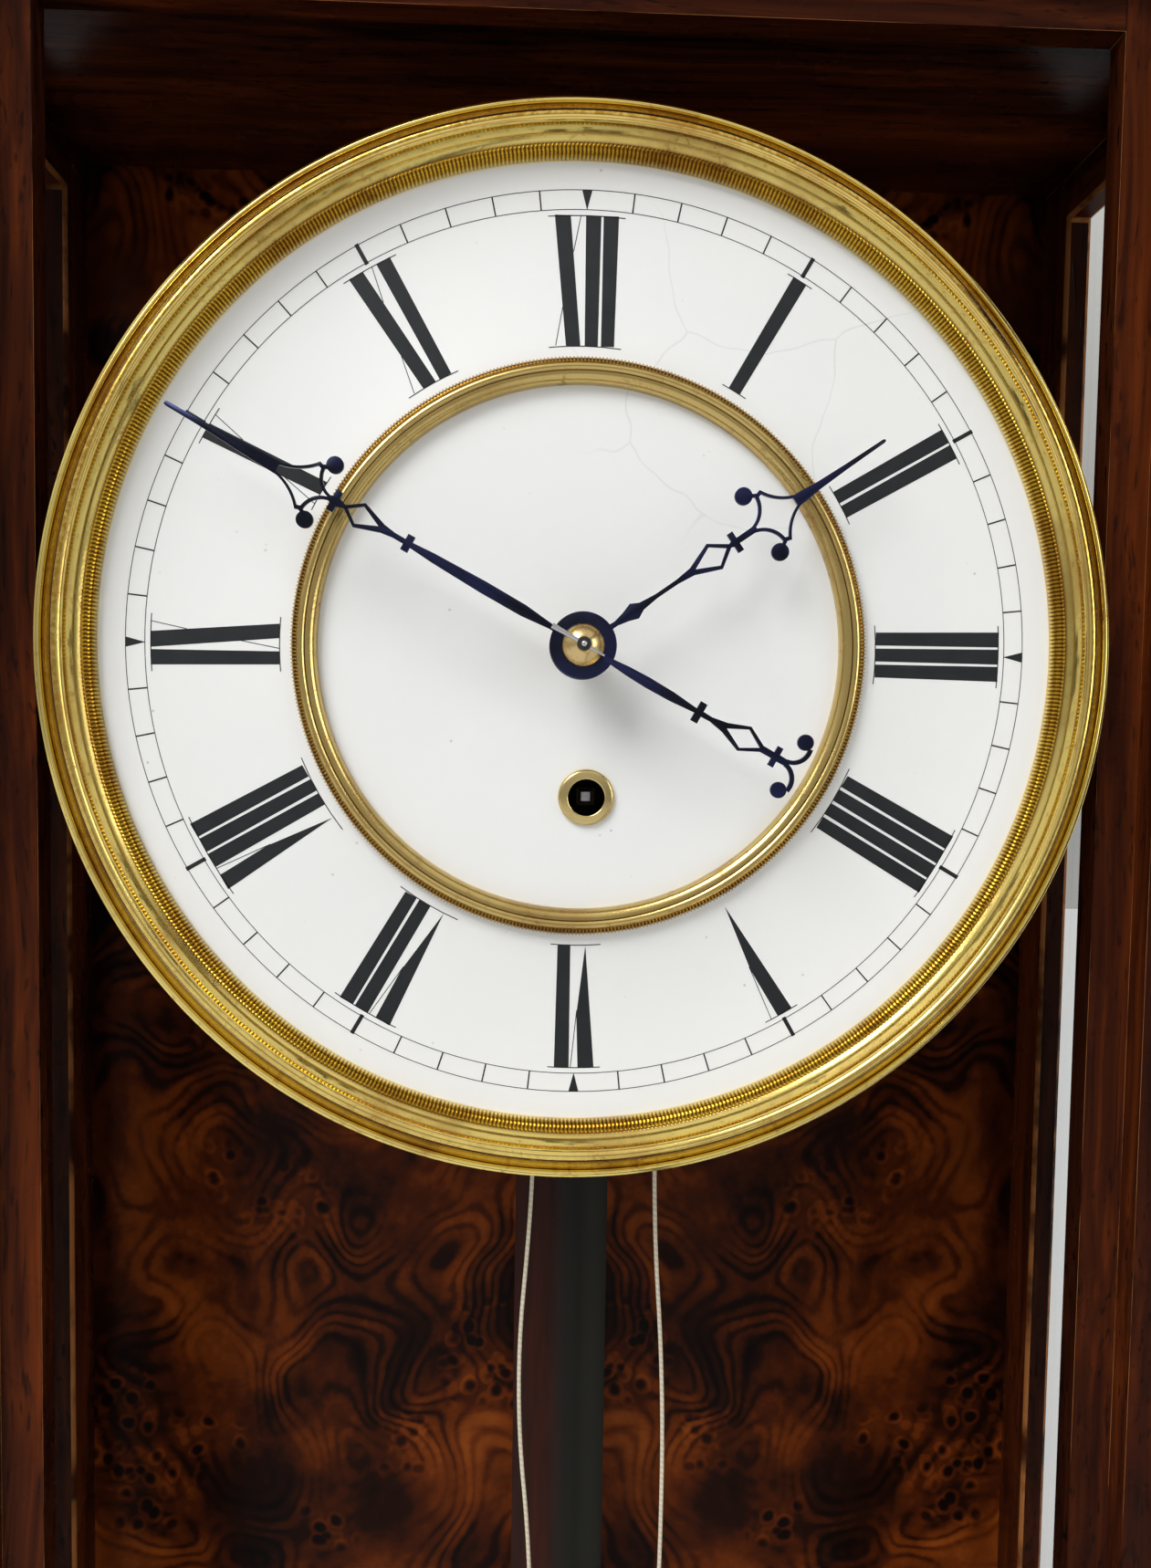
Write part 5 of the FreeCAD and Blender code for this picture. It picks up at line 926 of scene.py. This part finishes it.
def draw_numeral(bm, word, angle):
    """One numeral, narrower at its foot, between the two arcs of its serifs."""
    width = sum(LETTERS[letter]["width"] for letter in word) + sum(AFTER[letter] for letter in word[:-1])
    narrowing = STROKE_FOOT / STROKE_HEAD
    left = -width / 2

    def spot(across, down):
        out = HEAD + (FOOT - HEAD) * down
        return (across * (1 + (narrowing - 1) * down), out)

    for letter in word:
        shapes = LETTERS[letter]
        for solid in shapes["solids"]:
            ink_shape(bm, angle, [spot(left + across, down) for across, down in solid])
        for start, end in shapes["hairs"]:
            ink_line(bm, angle, spot(left + start[0], start[1]), spot(left + end[0], end[1]), HAIR)
        left += shapes["width"] + AFTER[letter]
    for radius, share in ((HEAD, 1), (FOOT, narrowing)):
        reach = math.degrees((width / 2 * share + SERIF_REACH) / radius)
        if radius == HEAD or not word.endswith("V"):
            ink_arc(bm, radius, angle - reach, angle + reach, SERIF, SERIF_STEPS)


def make_numerals():
    for hour, word in enumerate(HOURS):
        bm = bmesh.new()
        draw_numeral(bm, word, hour * 30)
        bmesh.ops.recalc_face_normals(bm, faces=bm.faces)
        new_piece(f"numeral_{hour or 12}", ROOT, numeral_black, bm, smooth=False)


TRACK_OUTER = 82.0
TRACK_INNER = 78.55
TRACK_LINE = 0.13
TRACK_STEPS = 240
MINUTE_LINE = 0.27
HOUR_LINE = 0.75
HOUR_INNER = TRACK_INNER - 0.3
HOUR_OUTER = TRACK_OUTER + 0.25
POINTER_HALF = 0.93
POINTER_TIP = TRACK_INNER - 0.1


def make_track():
    """The two rings of the minute track, with a line at each minute and a pointer at each quarter."""
    bm = bmesh.new()
    for radius in (TRACK_INNER, TRACK_OUTER):
        ink_arc(bm, radius, 0, 360, TRACK_LINE, TRACK_STEPS)
    pointer = [(-POINTER_HALF, TRACK_OUTER), (POINTER_HALF, TRACK_OUTER), (0, POINTER_TIP)]
    for minute in range(60):
        angle = minute * 6
        if minute % 15 == 0:
            ink_shape(bm, angle, pointer)
        elif minute % 5 == 0:
            ink_line(bm, angle, (0, HOUR_INNER), (0, HOUR_OUTER), HOUR_LINE)
        else:
            ink_line(bm, angle, (0, TRACK_INNER), (0, TRACK_OUTER), MINUTE_LINE)
    bmesh.ops.recalc_face_normals(bm, faces=bm.faces)
    new_piece("minute_track", ROOT, numeral_black, bm, smooth=False)


SCALE_RADIUS = 243
SCALE_DEGREES = 11
SCALE_LINE = 0.3
SCALE_MARGIN = 1.2
HALF_MARK = 2.6
DEGREE_MARK = 4.4
MIDDLE_MARK = 7.0
PIN = [(0.0, 0.9), (1.05, 0.65, "via"), (1.5, 0.0), (0.0, 0.0)]
PIN_INSET = 3.2 * MM
PIN_STEPS = 32


def make_scale_marks():
    """Engraved half degrees of the beat scale, and the two pins that hold it to the board."""
    low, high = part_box("beat_scale")
    sag = (SCALE_RADIUS - math.sqrt(SCALE_RADIUS**2 - (high.x / MM) ** 2)) * MM
    centre = Vector((0, low.y, high.z - sag + SCALE_RADIUS * MM))
    bm = bmesh.new()
    for half_degree in range(-2 * SCALE_DEGREES, 2 * SCALE_DEGREES + 1):
        length = HALF_MARK if half_degree % 2 else DEGREE_MARK
        if half_degree == 0:
            length = MIDDLE_MARK
        start = SCALE_RADIUS + SCALE_MARGIN
        ink_line(bm, 180 - half_degree / 2, (0, start), (0, start + length), SCALE_LINE, centre)
    bmesh.ops.recalc_face_normals(bm, faces=bm.faces)
    new_piece("scale_marks", ROOT, numeral_black, bm, smooth=False)
    for side, x in (("left", low.x + PIN_INSET), ("right", high.x - PIN_INSET)):
        place = Vector((x, low.y, (low.z + sag + high.z) / 2))
        new_piece(f"scale_pin_{side}", ROOT, case_brass, lathe(rounded(PIN), place, PIN_STEPS))


# Gut line: how far out of straight each point lies, in shares of the bow, and how far down its run

LINE = 0.9 * MM
LINE_Y = -0.072
BOW = 2.6 * MM
PULLEY_Z = -0.7762
RIGHT_TOP = Vector((0.01945, LINE_Y, -0.177))
RIGHT_FOOT = Vector((0.019, LINE_Y, PULLEY_Z))
LEFT_TOP = Vector((-0.007, LINE_Y, -0.2052))
LEFT_FOOT = Vector((-0.007, LINE_Y, PULLEY_Z))
RIGHT_ROUTE = [
    (0, 0), (-0.1, 0.07), (-0.45, 0.145), (0.85, 0.215), (0.8, 0.285), (0.3, 0.36), (0.05, 0.44),
    (0, 0.53), (0.2, 0.62), (0.3, 0.71), (0.35, 0.8), (0.2, 0.88), (0.02, 0.95), (0, 1),
]
LEFT_ROUTE = [
    (0, 0), (0.1, 0.05), (0, 0.1), (1.35, 0.175), (-0.4, 0.25), (0, 0.33), (0.25, 0.42), (0.35, 0.51),
    (0.15, 0.6), (0, 0.69), (0.1, 0.78), (0.2, 0.86), (0.05, 0.93), (0, 1),
]
TURN_RADIUS = 13 * MM
TURN_STEPS = 8
SPLINE_ORDER = 3
SPLINE_STEPS = 8
SPLINE_SIDES = 3


def spline_mesh(name, points, bevel):
    """The mesh of a smooth line led by control points: a tube or, with no bevel, its centre line."""
    curve = bpy.data.curves.new(name, "CURVE")
    curve.dimensions = "3D"
    curve.resolution_u = SPLINE_STEPS
    curve.bevel_depth = bevel
    curve.bevel_resolution = SPLINE_SIDES
    curve.use_fill_caps = bevel > 0
    spline = curve.splines.new("NURBS")
    spline.points.add(len(points) - 1)
    for point, place in zip(spline.points, points):
        point.co = (*place, 1)
    spline.order_u = SPLINE_ORDER
    spline.use_endpoint_u = True
    holder = bpy.data.objects.new(name, curve)
    mesh = bpy.data.meshes.new_from_object(holder)
    bpy.data.objects.remove(holder)
    bpy.data.curves.remove(curve)
    return mesh


def make_line(name, body, points, node):
    """A run of the line: a tube along its route that stands for a node of the line."""
    path = [vertex.co.copy() for vertex in spline_mesh(name, points, 0).vertices]
    mesh = spline_mesh(name, points, LINE / 2)
    mesh.name = name
    line = bpy.data.objects.new(name, mesh)
    bpy.context.scene.collection.objects.link(line)
    mesh.materials.clear()
    mesh.materials.append(gut_finish)
    mesh.shade_smooth()
    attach(line, body)
    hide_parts(node)
    return line


RIGHT_LENGTH = 0.5993
LEFT_LENGTH = 0.5712


def make_gut_line():
    """The two hanging runs, and the half turn under the pulley."""
    routes = (
        ("line_right", RIGHT_TOP, RIGHT_FOOT, BOW, RIGHT_ROUTE, RIGHT_LENGTH, "gut_line_right"),
        ("line_left", LEFT_TOP, LEFT_FOOT, -BOW, LEFT_ROUTE, LEFT_LENGTH, "gut_line_left"),
    )
    for name, top, foot, bow, route, length, node in routes:
        points = [top.lerp(foot, down) + Vector((bow * out, 0, 0)) for out, down in route]
        line = make_line(name, ROOT, points, node)
        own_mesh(line)
    middle = (RIGHT_FOOT + LEFT_FOOT) / 2
    step = math.pi / TURN_STEPS
    outer = TURN_RADIUS / math.cos(step / 2)
    points = [RIGHT_FOOT.copy()]
    for index in range(TURN_STEPS):
        angle = step * (index + 0.5)
        points.append(middle + Vector((math.cos(angle), 0, -math.sin(angle))) * outer)
    points.append(LEFT_FOOT.copy())
    make_line("line_turn", "weight", points, "gut_line_turn")


# Case, hands and everything whose shape is the node's own

NODE_FINISHES = {
    "backboard": burr,
    "hanger_plate": iron,
    "side_glasses": glass,
    "door_glass": glass,
    "beat_scale": silver,
    "pendulum_rod": rod_black,
    "taper_pin": bright_steel,
    "centre_arbor": bright_steel,
    "ratchet_wheel": bright_steel,
    "click": bright_steel,
    "pallets": bright_steel,
    "suspension_spring": bright_steel,
    "rod_end": bright_steel,
    "movement_bracket": iron,
    "centre_disc": enamel_white,
    "pendulum_bob": case_brass,
    "weight_shell": case_brass,
    "pulley": case_brass,
    "rating_nut": case_brass,
    "hinge_posts": case_brass,
    "door_fittings": case_brass,
    "door_hook": case_brass,
}

# the opening of the front frame, and the widths of the upright stiles of the other frames
FRONT_OPENING = 204 * MM
FRONT_STILE = 10 * MM
BACK_STILE = 14 * MM
DOOR_STILE = 27 * MM

# how far each kind of arris is eased
FRAME_ARRIS = 0.9 * MM
BOARD_ARRIS = 0.8 * MM
ROOF_ARRIS = 1.0 * MM
HAND_ARRIS = 0.11 * MM
HAND_SHARP_FROM = math.radians(40)


def make_frame(node, along, low, high):
    """A frame with upright stiles; its rails, from low to high on an axis, have their grain along it."""
    finish = walnut(f"walnut_{node}", "Z", along, ("XYZ".index(along), low, high))
    softened(node, finish, FRAME_ARRIS)


def make_case():
    make_frame("front_frame", "X", -FRONT_OPENING / 2, FRONT_OPENING / 2)
    low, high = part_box("side_frame_left")
    for side in ("left", "right"):
        make_frame(f"side_frame_{side}", "Y", low.y + FRONT_STILE, high.y - BACK_STILE)
    low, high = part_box("door_frame")
    make_frame("door_frame", "Y", low.y + DOOR_STILE, high.y - DOOR_STILE)
    for node in ("cornice", "base_plinth", "pediment", "top_board", "floor_board"):
        softened(node, across_walnut, BOARD_ARRIS)
    softened("roof_boards", deep_walnut, ROOF_ARRIS)


EAVE_THICK = 4 * MM
EAVE_TUCK = 0.3 * MM


def make_eaves():
    """Fillets that close the narrow wedge between the cornice and the roof boards, at both sides."""
    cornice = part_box("cornice")[1]
    roof_low, roof_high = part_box("roof_boards")
    gable_low, gable_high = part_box("pediment")
    slope = (gable_high.z - roof_low.z) / roof_high.x
    inner, outer = cornice.x - EAVE_THICK, cornice.x
    corners = [
        (outer, cornice.z - EAVE_TUCK),
        (outer, cornice.z + (roof_high.x - outer) * slope + EAVE_TUCK),
        (inner, cornice.z + (roof_high.x - inner) * slope + EAVE_TUCK),
        (inner, cornice.z - EAVE_TUCK),
    ]
    for side, name in ((-1, "left"), (1, "right")):
        bm = bmesh.new()
        face = bm.faces.new([bm.verts.new((side * x, gable_low.y, z)) for x, z in corners])
        made = bmesh.ops.extrude_face_region(bm, geom=[face])
        bmesh.ops.translate(bm, verts=moved_verts(made), vec=(0, cornice.y - gable_low.y, 0))
        bmesh.ops.recalc_face_normals(bm, faces=bm.faces)
        new_piece(f"eave_fillet_{name}", ROOT, deep_walnut, bm)


def make_hands():
    for node in ("hour_hand", "minute_hand"):
        softened(node, blue_steel, HAND_ARRIS, HAND_SHARP_FROM)


def finish_nodes():
    """Every CAD node that still shows gets its finish; movement brass is the commonest."""
    for name, node in frame["nodes"].items():
        if node.hide_render:
            continue
        node.data.materials.clear()
        node.data.materials.append(NODE_FINISHES.get(name, movement_brass))


# Screws of the back

SCREW_RADIUS = 3.2 * MM
SCREW_NECK = SCREW_RADIUS * 0.86
SCREW_DEPTH = SCREW_RADIUS / 2
UNDER_FACE = SCREW_DEPTH * 0.495
SLOT_HALF = SCREW_RADIUS * 0.12
SLOT_DEPTH = SCREW_RADIUS / 4
SLOT_TURN = 28.8
SLOT_TURN_PER_METRE = 40
SCREW_PROUD = 0.02 * MM
SCREW_INSET = 5 * MM
BOARD_SCREWS = 5
BOARD_SCREW_TOP = 60 * MM
BOARD_SCREW_FOOT = 30 * MM


def make_screw(name, place, finish):
    """A slotted countersunk screw head that faces the wall; each slot stands at its own angle."""
    bm = bmesh.new()
    bmesh.ops.create_cone(
        bm, cap_ends=True, cap_tris=False, segments=32, radius1=SCREW_RADIUS, radius2=SCREW_NECK,
        depth=SCREW_DEPTH,
    )
    for edge in (-SLOT_HALF, SLOT_HALF):
        whole = bm.verts[:] + bm.edges[:] + bm.faces[:]
        bmesh.ops.bisect_plane(bm, geom=whole, plane_co=(edge, 0, 0), plane_no=(1, 0, 0))
    middles = {face: face.calc_center_median() for face in bm.faces}
    slot_faces = [
        face for face, middle in middles.items() if middle.z > UNDER_FACE and abs(middle.x) < SLOT_HALF
    ]
    made = bmesh.ops.extrude_face_region(bm, geom=slot_faces)
    bmesh.ops.translate(bm, verts=moved_verts(made), vec=(0, 0, -SLOT_DEPTH))
    bmesh.ops.delete(bm, geom=slot_faces, context="FACES")
    to_wall = Matrix.Rotation(math.radians(-90), 4, "X")
    spin = Matrix.Rotation(SLOT_TURN + place[2] * SLOT_TURN_PER_METRE, 4, "Z")
    bmesh.ops.transform(bm, matrix=Matrix.Translation(place) @ to_wall @ spin, verts=bm.verts)
    bmesh.ops.recalc_face_normals(bm, faces=bm.faces)
    new_piece(name, ROOT, finish, bm)


def make_back_screws():
    """Screws in the corners of the hanging plate, and down both edges of the backboard."""
    plate_low, plate_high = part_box("hanger_plate")
    board_low, board_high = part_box("backboard")
    depth = board_high.y + SCREW_PROUD - SCREW_DEPTH / 2
    top, foot = board_high.z - BOARD_SCREW_TOP, board_low.z + BOARD_SCREW_FOOT
    plate_heights = (plate_low.z + SCREW_INSET, plate_high.z - SCREW_INSET)
    board_heights = [top + (foot - top) * index / (BOARD_SCREWS - 1) for index in range(BOARD_SCREWS)]
    rows = (
        ("hanger_screw", plate_low, plate_high, plate_heights, winding_steel),
        ("board_screw", board_low, board_high, board_heights, iron),
    )
    for name, low, high, heights, finish in rows:
        places = [(x, depth, z) for x in (low.x + SCREW_INSET, high.x - SCREW_INSET) for z in heights]
        for index, place in enumerate(places):
            make_screw(f"{name}_{index + 1}", place, finish)


# Stage, lamps and camera

FLOOR_DROP = 0.2
FLOOR_HALF = 6
PALE = (0.82, 0.82, 0.82)
FLOOR_SHARE = 0.85


def make_stage():
    """A pale floor under the clock, which polished metal sees bright."""
    bm = bmesh.new()
    bmesh.ops.create_grid(bm, x_segments=1, y_segments=1, size=FLOOR_HALF)
    bmesh.ops.translate(bm, verts=bm.verts, vec=(0, 0, cad_low.z - FLOOR_DROP))
    mesh = bpy.data.meshes.new("floor")
    bm.to_mesh(mesh)
    bm.free()
    floor = bpy.data.objects.new("floor", mesh)
    bpy.context.scene.collection.objects.link(floor)
    f = Finish("pale_floor")
    plain = f.add("ShaderNodeBsdfDiffuse", None, {"Color": PALE})
    bright = f.add("ShaderNodeEmission", None, {"Color": PALE, "Strength": 1.0})
    share = f.light_path("Glossy") * FLOOR_SHARE
    seen = f.add("ShaderNodeMixShader", None, {0: share, 1: plain, 2: bright})
    mesh.materials.append(f.close(seen))


ROOM_TINT = (1.0, 0.99, 0.96)
ROOM_LIGHT = 0.5
ROOM_SEEN = 0.76
CEILING_SEEN = 0.82
HORIZON_SEEN = 0.4
HORIZON_TOP = 0.05
CEILING_FROM = 0.55


def make_world():
    """An evenly lit pale room. Polished metal sees its ceiling and floor bright and its walls dim."""
    room = Finish("room", bpy.data.worlds.new("room"))
    bpy.context.scene.world = room.material
    direction = room.add("ShaderNodeTexCoord", output="Generated")
    height = abs(room.split(direction)[2]).fade(HORIZON_TOP, CEILING_FROM)
    seen_in_metal = HORIZON_SEEN + height * (CEILING_SEEN - HORIZON_SEEN)
    seen = (room.light_path("Camera") + room.light_path("Transmission")).above(0.5)
    strength = ROOM_LIGHT + seen * (ROOM_SEEN - ROOM_LIGHT)
    strength = strength + (seen_in_metal - strength) * room.light_path("Glossy")
    background = room.add("ShaderNodeBackground", None, {"Color": ROOM_TINT, "Strength": strength})
    room.close(background, "ShaderNodeOutputWorld")


# each lamp: where it stands from the dial, its size in metres, its power in watts
LAMPS = {
    "key": ((-0.9, -1.1, 1.3), 1.0, 29),
    "fill": ((1.3, -1.0, 0.3), 0.9, 9),
    "low": ((-0.45, -0.95, -1.45), 1.4, 48),
}


def make_lamps():
    for name, (place, size, power) in LAMPS.items():
        lamp = bpy.data.lights.new(name, "AREA")
        lamp.shape = "SQUARE"
        lamp.size = size
        lamp.energy = power
        holder = bpy.data.objects.new(name, lamp)
        holder.location = DIAL + Vector(place)
        holder.rotation_mode = "QUATERNION"
        holder.rotation_quaternion = (-Vector(place)).to_track_quat("-Z", "Y")
        bpy.context.scene.collection.objects.link(holder)


# the camera looks along +Y from here, then turns about this vector by as many degrees as it is long
CAMERA_PLACE = DIAL + Vector((-8.607, -214.4, -13.35)) * MM
CAMERA_TURN = Vector((-3.015, -0.834, -2.148))
CLIP_START = 10 * MM
FOCAL_PIXELS = 1280
PHOTO_HEIGHT = 1718
SENSOR = 36


def make_camera():
    data = bpy.data.cameras.new("camera")
    data.sensor_width = SENSOR
    data.lens = SENSOR * FOCAL_PIXELS / PHOTO_HEIGHT
    data.clip_start = CLIP_START
    camera = bpy.data.objects.new("camera", data)
    upright = Matrix.Rotation(math.radians(90), 4, "X")
    tilt = Matrix.Rotation(math.radians(CAMERA_TURN.length), 4, CAMERA_TURN.normalized())
    camera.matrix_world = Matrix.Translation(CAMERA_PLACE) @ tilt @ upright
    bpy.context.scene.collection.objects.link(camera)
    bpy.context.scene.camera = camera


make_gut_line()
make_bezel()
make_centre_ring()
make_eyelet()
make_winding_tip()
make_collet()
make_chapter_ring()
make_numerals()
make_track()
make_scale_marks()
make_case()
make_eaves()
make_hands()
finish_nodes()
make_back_screws()
make_stage()
make_world()
make_lamps()
make_camera()
bpy.context.scene.view_settings.view_transform = "Standard"
